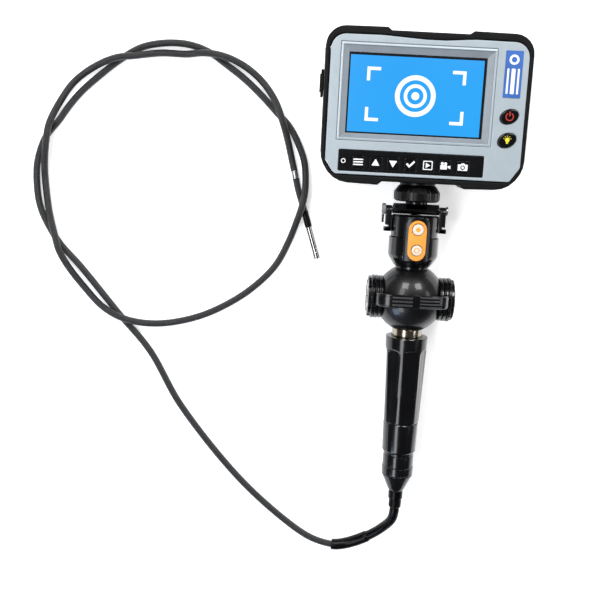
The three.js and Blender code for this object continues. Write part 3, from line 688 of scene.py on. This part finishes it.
def grip_shell():
    """Long scooped flutes with arched tops between narrow ridges that widen downwards."""
    ridge_steps, flute_steps = 4, 22
    bm = bmesh.new()
    columns = [(f, k) for f in range(FLUTES) for k in range(ridge_steps + flute_steps)]
    levels = [("lip", (r, GRIP_TOP - drop)) for r, drop in ((14.0, 0), (17.4, 0), (17.95, 0.12), (18.15, 0.55))]
    levels += [("band", t) for t in (0.2, 0.5, 0.8, 0.97)]
    levels += [("scoop", t) for t in (0.0, 0.12, 0.3, 0.55, 0.8, 1.0)]
    levels += [("run", t / 26) for t in range(1, 27)]
    levels += [("end", t) for t in (0.5, 1.0)]
    rings = []
    for kind, t in levels:
        ring = []
        for f, k in columns:
            half = RIDGE + RIDGE_GROWTH * {"run": t, "end": 1}.get(kind, 0)
            if k < ridge_steps:
                phase, share = (k / ridge_steps * 2 - 1) * half, -1.0
            else:
                share = (k - ridge_steps) / flute_steps
                phase = half + (1 - 2 * half) * share
            arch = 0.0 if share < 0 else math.sqrt(max(0.0, 1 - (2 * share - 1) ** 2))
            top = -47.5 + 4.6 * arch
            scoop = 0.0 if share < 0 else 1 - abs(2 * share - 1) ** 2.6
            if kind == "lip":
                r, y = t
            elif kind == "band":
                y = GRIP_TOP - 0.55 + (top + 0.3 - GRIP_TOP + 0.55) * t
                r = grip_radius(y)
            elif kind == "scoop":
                y = top - 2.2 * t
                r = grip_radius(y) - scoop * 1.65 * math.sin(math.pi / 2 * t)
            elif kind == "run":
                y = (top - 2.2) + (GRIP_SEAM + 1.6 - top + 2.2) * t
                r = grip_radius(y) - scoop * (0.55 + 1.1 * (1 - t))
            else:
                y = GRIP_SEAM + 1.6 - 1.6 * t
                r = grip_radius(y) - scoop * 0.55 - (0.35 if t == 1.0 else 0)
            a = (f + phase) / FLUTES * TAU - 0.27
            ring.append(bm.verts.new((r * math.sin(a), y, r * math.cos(a))))
        rings.append(ring)
    for y in (GRIP_SEAM, GRIP_TOP - 3):
        bore = []
        for v in rings[0]:
            d = math.hypot(v.co.x, v.co.z)
            bore.append(bm.verts.new((GRIP_BORE * v.co.x / d, y, GRIP_BORE * v.co.z / d)))
        rings.append(bore)
    n = len(columns)
    for one, two in zip(rings, rings[1:] + rings[:1]):
        for i in range(n):
            j = (i + 1) % n
            bm.faces.new((one[i], one[j], two[j], two[i]))
    return to_mesh(bm)


put("grip_shell", grip_shell(), GLOSS, angle=24)
put(
    "grip_lower",
    lathe([
        (GRIP_BORE, -137), (14.0, -137, 0.3), (14.75, -135.7, 1.2), (15.25, GRIP_SEAM - 0.9, 0.2),
        (14.9, GRIP_SEAM - 0.35), (GRIP_BORE, GRIP_SEAM - 0.35),
    ]),
    GLOSS,
)
put(
    "end_ring",
    lathe([
        (10.5, -158), (13.4, -158, 0.3), (13.85, -157.4, 0.3), (13.8, -151, 0.25), (13.1, -150.5),
        (13.1, -150), (13.6, -149.5, 0.25), (13.35, -140.4, 0.25), (12.7, -140), (12.7, -139.5),
        (13.3, -139, 0.25), (13.4, -137.4, 0.2), (10.5, -137.3),
    ]),
    GLOSS,
)
put(
    "end_cone",
    lathe([(4.4, -173.5), (6.6, -173.5, 0.3), (7.4, -172.1, 0.9), (13.6, -158.5, 0.5), (13.2, -158.3), (4.4, -158.3)]),
    GLOSS,
)
relief = [(3.2, -190), (4.9, -190, 0.4), (5.5, -189, 0.5)]
for k in range(3):
    y = -187.6 + k * 2.1
    relief += [(5.55, y, 0.15), (5.0, y + 0.25, 0.1), (5.0, y + 0.75, 0.1), (5.6, y + 1.0, 0.15)]
relief += [(5.7, -181.4, 0.1), (6.3, -181, 0.25), (6.3, -174.2, 0.4), (5.8, -173.8), (3.2, -173.8)]
put("strain_relief", lathe(relief, segments=64), SOFT_RUBBER)
put(
    "collar_ring",
    lathe([(5.5, -33), (12.8, -33, 0.15), (12.8, -26.5, 0.25), (12.3, -25.95, 0.15), (5.5, -25.95)], segments=128),
    NICKEL,
)

# ---- ball housing
BALL, BALL_DEPTH = 29.6, 26.5  # half the width and half the depth
BALL_END, BALL_SIDE = 25.6, 26.9  # where it is cut flat, along the handle and at the knobs


def ball_half(side):
    """Half of the round housing, flatter front to back, its edge turned in where the halves meet."""
    def seam(a, y, r):
        r = r / math.hypot(math.sin(a), math.cos(a) * BALL / BALL_DEPTH)
        r = min(r, BALL_SIDE / max(abs(math.sin(a)), 0.01))
        z = abs(r * math.cos(a))
        return r - 0.4 * max(0.0, 1 - z / 0.55)
    ys = [BALL_END * math.sin(math.pi / 2 * t / 30) for t in range(-30, 31)]
    outside = [(math.sqrt(BALL**2 - y * y), y) for y in ys]
    neck = outside[0][0] - 0.5
    profile = [(5.5, -BALL_END), (neck, -BALL_END), *outside[1:-1], (neck, BALL_END), (5.5, BALL_END)]
    first = -math.pi / 2 if side > 0 else math.pi / 2
    return lathe(profile, segments=120, shape=seam, arc=(first + 0.006, first + math.pi - 0.006))


put("ball_front", ball_half(1), HOUSING)
put("ball_back", ball_half(-1), HOUSING)
bearing = [(4, 24.0), (17.9, 24.0), (18.5, 24.7, 0.3), (18.5, 26.7, 0.4), (17.9, 27.2, 0.2), (4, 27.2)]
put("bearing_right", lathe(bearing, "X"), GLOSS)
put("bearing_left", mirrored(lathe(bearing, "X")), GLOSS)

# ---- thumb lever and its knobs


def quad(a, c, b, n=12):
    """Points on a quadratic curve from a to b, without a."""
    shares = [i / n for i in range(1, n + 1)]
    return [tuple((1 - t) ** 2 * u + 2 * t * (1 - t) * v + t * t * w for u, v, w in zip(a, c, b)) for t in shares]


def arch_line(x, bend, flat, z):
    """Up from (x, 0), round a corner between the heights bend and z, and down again at -x."""
    rise = [(x, 0), (x, bend), *quad((x, bend), (x, z), (flat, z))]
    return rise + [(-flat, z), *quad((-flat, z), (-x, z), (-x, bend)), (-x, 0)]


ARCH = arch_line(31, 16, 15, 31.2)
INNER = arch_line(-27.5, 19.2, -15.5, 27.5)


def across(mesh, y0):
    """A plate drawn in XZ, its thickness now along +Y from y0."""
    mesh.transform(Matrix.Translation((0, y0, 0)) @ SWAP_YZ)
    mesh.flip_normals()
    return mesh


def arch_rib(x0, x1, y0, y1, height=0.75):
    """A raised rib that follows the lever's arch."""
    dense = []
    for (ax, az), (bx, bz) in zip(ARCH, ARCH[1:]):
        n = max(1, int(math.hypot(bx - ax, bz - az) / 1.2))
        dense += [(ax + (bx - ax) * i / n, az + (bz - az) * i / n) for i in range(n)]
    inside = [p for p in dense if x0 <= p[0] <= x1 and p[1] > 14]
    out = []
    for i, (x, z) in enumerate(inside):
        a, b = inside[max(i - 1, 0)], inside[min(i + 1, len(inside) - 1)]
        normal = Vector((a[1] - b[1], b[0] - a[0])).normalized()
        normal = -normal if normal.y < 0 or (abs(normal.y) < 0.3 and normal.x * x < 0) else normal
        out.append((x + normal.x * height, z + normal.y * height))
    foot = [(x * 0.985, z * 0.985) for x, z in reversed(inside)]
    wide = y1 - y0
    return across(plate(out + foot, 0, wide, min(0.6, wide * 0.38), resolution=3), y0)


def yoke():
    arch = across(plate(ARCH + INNER, 0, 10.8, 0.7, resolution=3), -3.9)
    hub = [(3.8, 27.5), (18.2, 27.5, 0.3), (18.7, 28, 0.3), (18.7, 30.5, 0.3), (18.2, 31, 0.2), (3.8, 31)]
    # The ribs take the lighter rib material, a painted sheen.
    ribs = [arch_rib(-17.6, -0.4, y - 0.9, y + 0.9, 1.1) for y in (-1.6, 1.5, 4.6)]
    ribs += [arch_rib(5.4, 25.5, y - 0.75, y + 0.75, 1.1) for y in (-2.6, 0.1, 2.8, 5.5)]
    pads = [arch_rib(-28.6, -19.4, -2.6, 5.6, 0.35), arch_rib(26.6, 30.9, -2.6, 5.6, 0.35)]
    smooth = [arch, lathe(hub, "X"), mirrored(lathe(hub, "X"))]
    return merge(*((m, 0) for m in smooth), *((m, 1) for m in ribs), *((m, 0) for m in pads))


put("lever_yoke", yoke(), [GLOSS, RIB_SHEEN_BLACK], "lever")


def cap(phase):
    """A stepped knob whose outer rim has twelve notches."""
    def notches(a, x, r):
        if x < 33.95 or r < 13.8:
            return r
        share = ((a - phase) / TAU * 12) % 1
        near = min(share, 1 - share) * 2
        return r - (1.1 if near < 0.17 else 0)
    profile = [
        (0, 31.3), (18.4, 31.3, 0.2), (18.9, 31.7, 0.2), (18.9, 32.3, 0.1), (18.4, 32.45),
        (18.4, 32.75), (18.9, 32.9, 0.1), (18.9, 33.5, 0.2), (17.9, 33.9, 0.15), (17.7, 34.1, 0.1),
        (17.7, 36.1, 0.4), (16.8, 36.75, 0.4), (14.2, 36.8, 0.15), (13.7, 36.3, 0.1), (6.2, 36.3, 0.1),
        (5.8, 35.7), (4.4, 35.7), (4.3, 36.6, 0.2), (0, 36.6),
    ]
    disc = lathe(profile, "X", segments=216, shape=notches)
    slot = block(-0.5, 0.5, -3.2, 3.2, 36.1, 37.6)
    slot.transform(CYCLE)
    return cut(disc, slot)


put("cap_right", cap(0.26 + math.pi / 2), GLOSS, "lever", angle=24)
put("cap_left", mirrored(cap(0.26 + math.pi / 2 + 0.18)), GLOSS, "lever", angle=24)

# ---- head, keypad panel and hinge
put(
    "head_lower",
    lathe([
        (6, 25.9), (13.5, 25.9, 0.1), (13.5, 28.2), (15.2, 28.2, 0.3), (15.8, 28.5, 0.3),
        (20.5, 35.6, 1.5), (21.2, 38, 1.0), (21.2, 52.6, 0.3), (20.8, 52.9), (6, 52.9),
    ]),
    GLOSS,
)
put(
    "head_seam_ring",
    lathe([(13.0, 26.3), (13.9, 26.3, 0.2), (14.1, 26.9, 0.2), (14.1, 27.6, 0.2), (13.0, 27.8)]),
    DARK_CHROME, "handle", [],
)
put(
    "head_upper",
    lathe([(6, 53.15), (19.6, 53.15), (20, 53.5, 0.2), (20, 70.3, 0.5), (18.9, 71.5, 0.4), (5, 71.5), (5, 70)]),
    GLOSS,
)
PAD_Y, CAPTURE_Y, ROTATE_Y = 52, 61.4, 44.2
panel_outline = [(-11.05, 34.2, 1.2), (11.05, 34.2, 1.2), (11.05, 71.3, 7.5), (-11.05, 71.3, 7.5)]
panel = plate(panel_outline, -2.9, 0, 0.7, resolution=3)
put("button_panel", wrapped(panel, 24.3), PANEL_BLACK)
stadium = rect(-7.9, 7.9, PAD_Y - 16.75, PAD_Y + 16.75, 7.9)
wells = [circle(0, CAPTURE_Y, 4.95, 48), circle(0, ROTATE_Y, 4.65, 48)]
pad = plate(stadium, -2.8, 0, 1.0, holes=wells, resolution=3)
put("button_pad", wrapped(pad, 27.3, 0.7), ORANGE)


def round_button(y, r, icon):
    profile = [
        (0, 25.8), (r - 0.5, 25.8), (r - 0.1, 27.1), (r, 27.4, 0.1), (r, 27.9, 0.3),
        (r - 0.5, 28.35, 0.4), (r - 1.5, 28.35, 0.3), (0, 27.95),
    ]
    return moved(merge((lathe(profile, "Z", 64), 0), *((m, 1) for m in icon)), y=y)


dot = [plate(circle(0, 0, 1.9, 40), 27.9, 28.3, 0.05)]
arrow = [
    plate(circle(0, 0, 2.3, 40), 27.95, 28.4, 0.04, holes=[circle(0, 0, 1.7, 40)]),
    plate([(1.2, 0.5), (2.9, 0.5), (2.05, -0.9)], 27.95, 28.45, 0.04),
    plate([(-1.2, -0.5), (-2.9, -0.5), (-2.05, 0.9)], 27.95, 28.45, 0.04),
]
put("capture_button", round_button(CAPTURE_Y, 4.6, dot), [WHITE, ORANGE], "capture_button")
put("rotate_button", round_button(ROTATE_Y, 4.3, arrow), [WHITE, ORANGE], "rotate_button")


def along_x(mesh, x0):
    """A plate drawn in YZ, its thickness now along +X from x0."""
    mesh.transform(Matrix.Translation((x0, 0, 0)) @ CYCLE)
    return mesh


def cheek():
    top = [(73.8 + 5 * math.sin(a), 5 * math.cos(a)) for a in (math.pi * i / 24 for i in range(25))]
    body = along_x(plate([(57, 5), *top, (57, -5)], 0, 4.95, 0.45), 20.35)
    foot = block(20.4, 26.4, 57, 60.4, -5, 5, 0.5)
    slot = block(22.6, 30, 60.5, 62.2, -8, 8)
    return merge(cut(body, slot), foot)


put("cheek_right", cheek(), SATIN)
put("cheek_left", mirrored(cheek()), SATIN)
HINGE_Y = 75.6
pin_head = [
    (0, 25.4), (3.6, 25.4), (4, 25.8, 0.15), (4, 26.9, 0.4), (3.4, 27.3, 0.2), (2.0, 27.3, 0.1),
    (1.9, 26.6), (0, 26.6),
]
clamp = [
    (0, 25.5), (4.3, 25.5), (4.6, 25.8, 0.2), (4.6, 28.0, 0.4), (4.1, 28.5, 0.2), (1.6, 28.5),
    (1.5, 27.9), (0, 27.9),
]
pin = [moved(lathe(pin_head, "X", 48), y=HINGE_Y), moved(mirrored(lathe(clamp, "X", 72)), y=HINGE_Y)]
pin.append(moved(lathe([(0, -25.5), (1.8, -25.5), (1.8, 25.5), (0, 25.5)], "X", 32), y=HINGE_Y))
wing = [block(-28.5, -26.5, 70.6, 78.5, -2.8, 2.8, 0.8), block(-28.4, -26.6, 63.9, 70.9, -2.6, 2.6, 0.7)]
hinge = merge((pin[0], 0), (pin[1], 1), (pin[2], 0), (wing[0], 1), (wing[1], 2))
put("hinge_pin", hinge, [STEEL, CLAMP, SATIN])

barrel = [(1.9, -19.9), (3.3, -19.9, 0.1), (3.7, -19.4, 0.2), (3.7, 19.4, 0.2), (3.3, 19.9, 0.1), (1.9, 19.9)]
barrel = moved(lathe(barrel, "X", 64), y=HINGE_Y)
web = merge(block(-9.1, 9.1, 76, 82.4, -3.6, 3.6, 0.5), block(-19.3, 19.3, 75.8, 80.7, -3.6, 3.6, 0.7))
stem = lathe([(0, 80.6), (8.6, 80.6, 0.2), (9, 81, 0.2), (9, 101), (0, 101)])
put("tilt_block", merge((barrel, 0), (web, 1), (stem, 1)), [DARK_CHROME, GLOSS], "tilt_mount")


def knurl(a, y, r):
    if r < 15 or y > 91.6:
        return r
    share = (a / TAU * 26) % 1
    near = abs(share - 0.5) * 2
    return r - 0.5 * max(0.0, min(1.0, (near - 0.66) / 0.2))


put(
    "lock_ring",
    lathe([
        (9.3, 83), (17.7, 83, 0.3), (19.3, 84.4, 0.5), (19.4, 86), (19.4, 90.8, 0.3), (18.9, 91.5, 0.3),
        (15.7, 96.0, 0.4), (15, 96.3, 0.2), (9.3, 96.3),
    ], segments=26 * 12, shape=knurl),
    LOCK_BLACK, "lock_ring", angle=26,
)
put(
    "mount_flange",
    lathe([
        (9.3, 96.6), (14.6, 96.6, 0.2), (15, 97, 0.2), (15, 98.5, 0.2), (14.5, 98.8), (14.5, 99.3),
        (15, 99.6, 0.2), (15, 103.4, 0.1), (9.3, 103.5),
    ]),
    LOCK_BLACK, "monitor",
)

# ---- monitor
BEZEL = [
    (-71.5, 103.8, 3), (71.5, 103.8, 3), (79.5, 115.5, 5), (79.5, 214.6, 12), (36, 214.9, 25), (12, 213.0, 18),
    (-4, 213.0, 18), (-38, 214.9, 25), (-79.5, 214.6, 12), (-79.5, 115.5, 5),
]
BUMPER = [
    (-70.5, 97, 24), (-35.5, 96, 1.5), (-32, 99, 1.5), (32, 99, 1.5), (35.5, 96, 1.5), (70.5, 97, 24),
    (83.2, 112.5, 24), (83.8, 221.3, 16), (34.5, 221.8, 1.5), (31.5, 219.3, 1.5), (-31.5, 219.3, 1.5),
    (-34.5, 221.8, 1.5), (-83.8, 221.3, 16), (-83.2, 112.5, 24),
]
POWER_AT, LAMP_AT, OVAL_TILT = (67.2, 156.1), (66.9, 137.2), 0.42
KEYS, KEYS_Y = [-9.9 + (i - 3) * 14.2 for i in range(7)], 114
COVER_SCREWS = ((-30, 192.5), (30, 192.5))

bumper = plate(BUMPER, -12, 22.6, 1.5, holes=[grown(BEZEL, 0.35)], resolution=3)
cuts = [block(-15.5, 15.5, 90, 106, -20, 15.5), block(-90, -76, 168, 184, -5.5, 5.5)]
for side in (-1, 1):  # finger grooves down both sides
    for k in range(5):
        y = 124 + k * 7
        cuts.append(block(side * 83.4 - 1.1, side * 83.4 + 1.1, y, y + 2.4, -9, 13, 0.4))
bumper = cut(bumper, *cuts)
put("rubber_bumper", bumper, RUBBER, "monitor", flat=True)

vents = [rect(x, x + 2.2, 202.5, 207.5, 1.05) for x in range(-26, 25, 5)]
speaker = [circle(-64 + 3 * (i % 3), 150 + 3 * (i // 3), 0.85, 14) for i in range(12)]
bay = rect(-49.5, 49.5, 114.5, 186, 2)
screw_holes = [circle(x, y, 1.6, 20) for x, y in COVER_SCREWS]
back_plate = plate(BEZEL, -12, -9.6, 0.6, holes=[bay, *screw_holes, *vents, *speaker])
wall = plate(grown(BEZEL, -0.05), -9.8, 17.6, 0.2, holes=[grown(BEZEL, -2.4)])
wall = cut(wall, block(-90, -70, 169, 183, -4.5, 4.5))
put("rear_shell", merge(back_plate, wall), RUBBER, "monitor", flat=True)

tub = plate(rect(-55, 55, 110, 199, 6), FLOOR, -12.3, 1.4, resolution=3)
hollow = [block(-49.5, 49.5, 114.5, 186, FLOOR + 2.4, 0)]
for x, y in COVER_SCREWS:
    bore = lathe([(0, -40), (2.8, -40), (2.8, FLOOR + 1.6), (1.6, FLOOR + 1.6), (1.6, 0), (0, 0)], "Z", 40)
    hollow.append(moved(bore, x, y))
for k in range(6):
    hollow.append(block(-20, 20, 118 + 3.2 * k, 119.4 + 3.2 * k, FLOOR - 1, FLOOR + 0.7, 0.2))
for x in (-46, 10):
    hollow.append(block(x, x + 36, 150, 176, FLOOR - 1, FLOOR + 0.35, 0.1, 2))
put("battery_cover", cut(tub, *hollow), RUBBER, "monitor", flat=True)
for name, (x, y) in zip(("left", "right"), COVER_SCREWS):
    top = FLOOR + 0.3
    screw = [(0, top), (2.0, top, 0.3), (2.4, top + 0.4, 0.2), (2.4, top + 1), (1.2, top + 1), (1.2, -8.5), (0, -8.5)]
    cross = [block(-1.4, 1.4, -0.28, 0.28, top - 1, top + 0.6), block(-0.28, 0.28, -1.4, 1.4, top - 1, top + 0.6)]
    put("cover_screw_" + name, moved(cut(lathe(screw, "Z", 40), *cross), x, y), STEEL, "monitor")

bezel = plate(
    BEZEL, 18, 24, 0.55,
    holes=[
        rect(-71.5, 54.2, 131, 209, 0.8), rect(-68.8, 49.8, 106.2, 123.7, 1.2),
        ellipse(*POWER_AT, 8.0, 5.8, OVAL_TILT), ellipse(*LAMP_AT, 8.0, 5.8, OVAL_TILT),
    ],
    resolution=3,
)
put("front_bezel", bezel, SILVER, "monitor", flat=True)


def surround():
    """A sloped frame from the bezel's opening down to the display."""
    bm = bmesh.new()
    o, i = (-71.2, 53.9, 131.3, 208.7), (-64.4, 46.8, 137, 201.2)
    levels = [(o, 0, 18.3), (o, 0, 23.3), (o, 0.15, 23.6), (o, 1.5, 24.0), (o, 1.9, 23.9), (o, 2.2, 23.3)]
    levels += [(i, -0.35, 20.62), (i, -0.1, 20.5), (i, 0, 20.3), (i, 0, 18.3)]
    rings = []
    for (x0, x1, y0, y1), d, z in levels:
        x0, x1, y0, y1 = x0 + d, x1 - d, y0 + d, y1 - d
        rings.append([bm.verts.new(c) for c in ((x0, y0, z), (x1, y0, z), (x1, y1, z), (x0, y1, z))])
    for row, (one, two) in enumerate(zip(rings, rings[1:] + rings[:1])):
        for k in range(4):
            bm.faces.new((one[k], one[(k + 1) % 4], two[(k + 1) % 4], two[k])).material_index = int(row > 3)
    return to_mesh(bm)


# From the rim's inner edge down the sloped walls to the display, the frame takes the darker silver, which is painted
# shade.
put("screen_surround", surround(), [SILVER, SHADED_WALL_SILVER], "monitor", angle=12)

# The display: black border, lit area and a plain viewfinder picture.
put("screen_glass", block(-64.1, 46.5, 137.3, 200.9, 18.6, 19.8, 0.1), BORDER, "monitor", flat=True)
area = (-63.1, 44.6, 138.3, 199.2)
put("screen_area", block(*area, 19.7, 19.84, 0.02), DISPLAY, "monitor", ["lcd_panel"])
cx, cy = (area[0] + area[1]) / 2, (area[2] + area[3]) / 2
marks = []
for sx in (-1, 1):
    for sy in (-1, 1):
        x, y = cx + sx * 40, cy + sy * 21.5
        corner = ((0, 0), (11, 0), (11, 2.6), (2.6, 2.6), (2.6, 11), (0, 11))
        marks.append([(x - sx * u, y - sy * v) for u, v in corner])
picture = [plate(m, 19.8, 19.9, 0) for m in marks]
for outer, inner in ((16.5, 12.6), (9.4, 6.6), (3.2, None)):
    picture.append(plate(circle(cx, cy, outer, 72), 19.8, 19.9, 0, holes=[circle(cx, cy, inner, 64)] if inner else ()))
put("screen_picture", merge(*picture), LIT, "monitor", [])

strip = plate(
    rect(-68.5, 49.5, 106.5, 123.4, 1.0), 20.5, 24.3, 0.3,
    holes=[rect(x - 5.2, x + 5.2, 108.8, 119.2, 1.2) for x in KEYS],
)
lamp_mark = plate(circle(-64.6, 114.4, 1.9, 32), 24.25, 24.38, 0.03, holes=[circle(-64.6, 114.4, 1.2, 32)])
put("button_strip", merge((strip, 0), (lamp_mark, 1)), [PANEL_BLACK, PRINT], "monitor", flat=True)


def mark(outline, holes=()):
    """A mark printed on a key, whose top is at 25."""
    return plate(outline, 24.96, 25.08, 0.02, holes=holes)


ICONS = [
    [mark(rect(-4, 4, y - 0.55, y + 0.55, 0.3)) for y in (-2.1, 0, 2.1)],
    [mark([(-3.3, -2.3, 0.3), (3.3, -2.3, 0.3), (0, 3.2, 0.3)])],
    [mark([(-3.3, 2.3, 0.3), (3.3, 2.3, 0.3), (0, -3.2, 0.3)])],
    [mark([(-3.7, 0.1), (-2.6, 1.2), (-0.9, -0.5), (2.8, 3.1), (3.8, 2.0), (-0.9, -2.7)])],
    [
        mark(rect(-3.9, 3.9, -3.7, 3.7, 0.8), [rect(-3.1, 3.1, -2.9, 2.9, 0.4)]),
        mark([(-1.7, -2.1, 0.2), (-1.7, 2.1, 0.2), (2.1, 0, 0.2)]),
    ],
    [
        mark(rect(-4, 1.5, -2.6, 1.0, 0.6)), mark([(1.9, -0.8), (4.2, -2.2), (4.2, 0.7), (1.9, 0.1)]),
        mark(circle(-2.5, 2.1, 1.2, 20)), mark(circle(0.2, 2.1, 1.2, 20)),
    ],
    [
        mark([
            (-4, -2.9, 0.6), (4, -2.9, 0.6), (4, 2.2, 0.6), (1.7, 2.2), (1.1, 3.1, 0.2),
            (-1.1, 3.1, 0.2), (-1.7, 2.2), (-4, 2.2, 0.6),
        ], [circle(0, -0.4, 1.9, 28)]),
        mark(circle(0, -0.4, 1.1, 24)),
    ],
]
for i, (x, icon) in enumerate(zip(KEYS, ICONS), 1):
    key = plate(rect(-4.9, 4.9, -4.9, 4.9, 1.2), 20.9, 25, 0.45, resolution=3)
    key = moved(merge((key, 0), *((m, 1) for m in icon)), x, KEYS_Y)
    put(f"key_{i}", key, [GLOSS, PRINT], f"key_{i}", slot="keycaps", flat=True)


def oval_button(at, icon):
    """A slanted oval button; its top is higher than a key's, so its marks are raised."""
    body = plate(ellipse(0, 0, 7.7, 5.5, OVAL_TILT, 64), 20, 25.4, 0.8, resolution=4)
    return moved(merge((body, 0), *((moved(m, z=0.42), 1) for m in icon)), *at)


gap = math.radians(32)
power_ring = []
for r, first, last in ((3.4, gap, TAU - gap), (2.5, TAU - gap, gap)):
    for i in range(31):
        a = first + (last - first) * i / 30
        power_ring.append((r * math.sin(a), r * math.cos(a)))
power_icon = [mark(power_ring), mark(rect(-0.5, 0.5, 0.3, 4.1, 0.2))]
lamp_icon = [mark(circle(0, 0.5, 1.9, 28)), mark(rect(-0.9, 0.9, -2.6, -1.2, 0.2))]
for a in (-70, -35, 0, 35, 70):
    t = math.radians(a)
    d, n = Vector((math.sin(t), math.cos(t))), Vector((math.cos(t), -math.sin(t)))
    ray = ((2.5, -0.25), (2.5, 0.25), (3.5, 0.25), (3.5, -0.25))
    lamp_icon.append(mark([tuple(Vector((0, 0.5)) + d * u + n * v) for u, v in ray]))
put("power_button", oval_button(POWER_AT, power_icon), [GLOSS, PRINT_RED], "power_button", flat=True)
put("lamp_button", oval_button(LAMP_AT, lamp_icon), [GLOSS, PRINT_YELLOW], "lamp_button", flat=True)

film = block(60.3, 74.3, 171, 208, 24.0, 24.55, 0.12, 0.6)
stripes = [plate(rect(x, x + w, 174, 194, 0.5), 24.5, 24.6, 0.02) for x, w in ((62.3, 1.6), (65.7, 3.2), (70.7, 1.6))]
stripes.append(plate(circle(67.3, 201, 4.0, 48), 24.5, 24.6, 0.02, holes=[circle(67.3, 201, 2.2, 40)]))
put("label_plate", merge((film, 0), *((m, 1) for m in stripes)), [LABEL, PRINT], "monitor", flat=True)

flap = block(-86, -83.8, 164.8, 187.2, -8, 8.7, 0.5, 0.9)
knuckle = moved(lathe([(0, 165), (1.1, 165, 0.2), (1.1, 187, 0.2), (0, 187)], segments=32), -84.9, 0, -8)
lip = block(-87.0, -85.6, 168.5, 183.5, 6.0, 7.6, 0.4)
plug = block(-83.9, -82.6, 171, 181, -3.6, 3.6, 0.3)
put("port_cover", merge(flap, knuckle, lip, plug), RUBBER, "port_cover", flat=True)

# ---- CAD nodes that stay, mostly out of sight
hidden = dict.fromkeys(("lever_shaft", "wire_drum", "chassis_tube", "usb_port"), STEEL)
for name, finish in {**hidden, "main_board": BOARD, "battery_pack": CELL}.items():
    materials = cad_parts[name].data.materials
    materials.clear()
    materials.append(finish)

# ---- floor and light
bm = bmesh.new()
bmesh.ops.create_grid(bm, x_segments=8, y_segments=8, size=3.0)
floor_mesh = to_mesh(bm)
paper = Finish("white_paper", (0.93, 0.93, 0.93), 0.9, specular=0.1)
paper.shader.inputs["Emission Color"].default_value = (1, 1, 1, 1)
paper.shader.inputs["Emission Strength"].default_value = 0.55
paper.tones(3, 0.01).grain(800, 0.00005, 0.1)
floor_mesh.materials.append(paper.material)
floor = bpy.data.objects.new("floor", floor_mesh)
floor.location.z = -0.0003
bpy.context.scene.collection.objects.link(floor)

world = bpy.data.worlds.new("studio")
world.use_nodes = True
world.node_tree.nodes["Background"].inputs["Color"].default_value = (1.0, 1.0, 1.0, 1)
world.node_tree.nodes["Background"].inputs["Strength"].default_value = 0.08
bpy.context.scene.world = world


def softbox(name, place, target, width, height, power, color=(1, 1, 1)):
    data = bpy.data.lights.new(name, "AREA")
    data.shape, data.size, data.size_y, data.energy = "RECTANGLE", width, height, power
    data.color = color
    o = bpy.data.objects.new(name, data)
    o.location = place
    o.rotation_mode = "QUATERNION"
    toward = (Vector(place) - Vector(target)).normalized()
    along = (Vector((0, 1, 0)) - toward * toward.y).normalized()
    across_it = along.cross(toward)
    o.rotation_quaternion = Matrix((across_it, along, toward)).transposed().to_quaternion()
    bpy.context.scene.collection.objects.link(o)


softbox("key", (-0.6, -0.12, 1.12), (0, -0.02, 0.02), 0.36, 1.8, 12)
softbox("top", (-0.45, 1.0, 1.1), (0, 0.0, 0.02), 0.5, 0.5, 11)
softbox("back", (0.55, 1.0, 1.1), (0, 0.0, 0.02), 0.5, 0.5, 11)
softbox("fill", (1.15, 0.1, 0.85), (0, 0.05, 0.02), 0.3, 0.9, 3)
softbox("window", (-0.95, -1.05, 0.85), (0, 0, 0.02), 0.5, 0.5, 6, (0.55, 0.7, 1.0))
bpy.context.scene.view_settings.view_transform = "Standard"
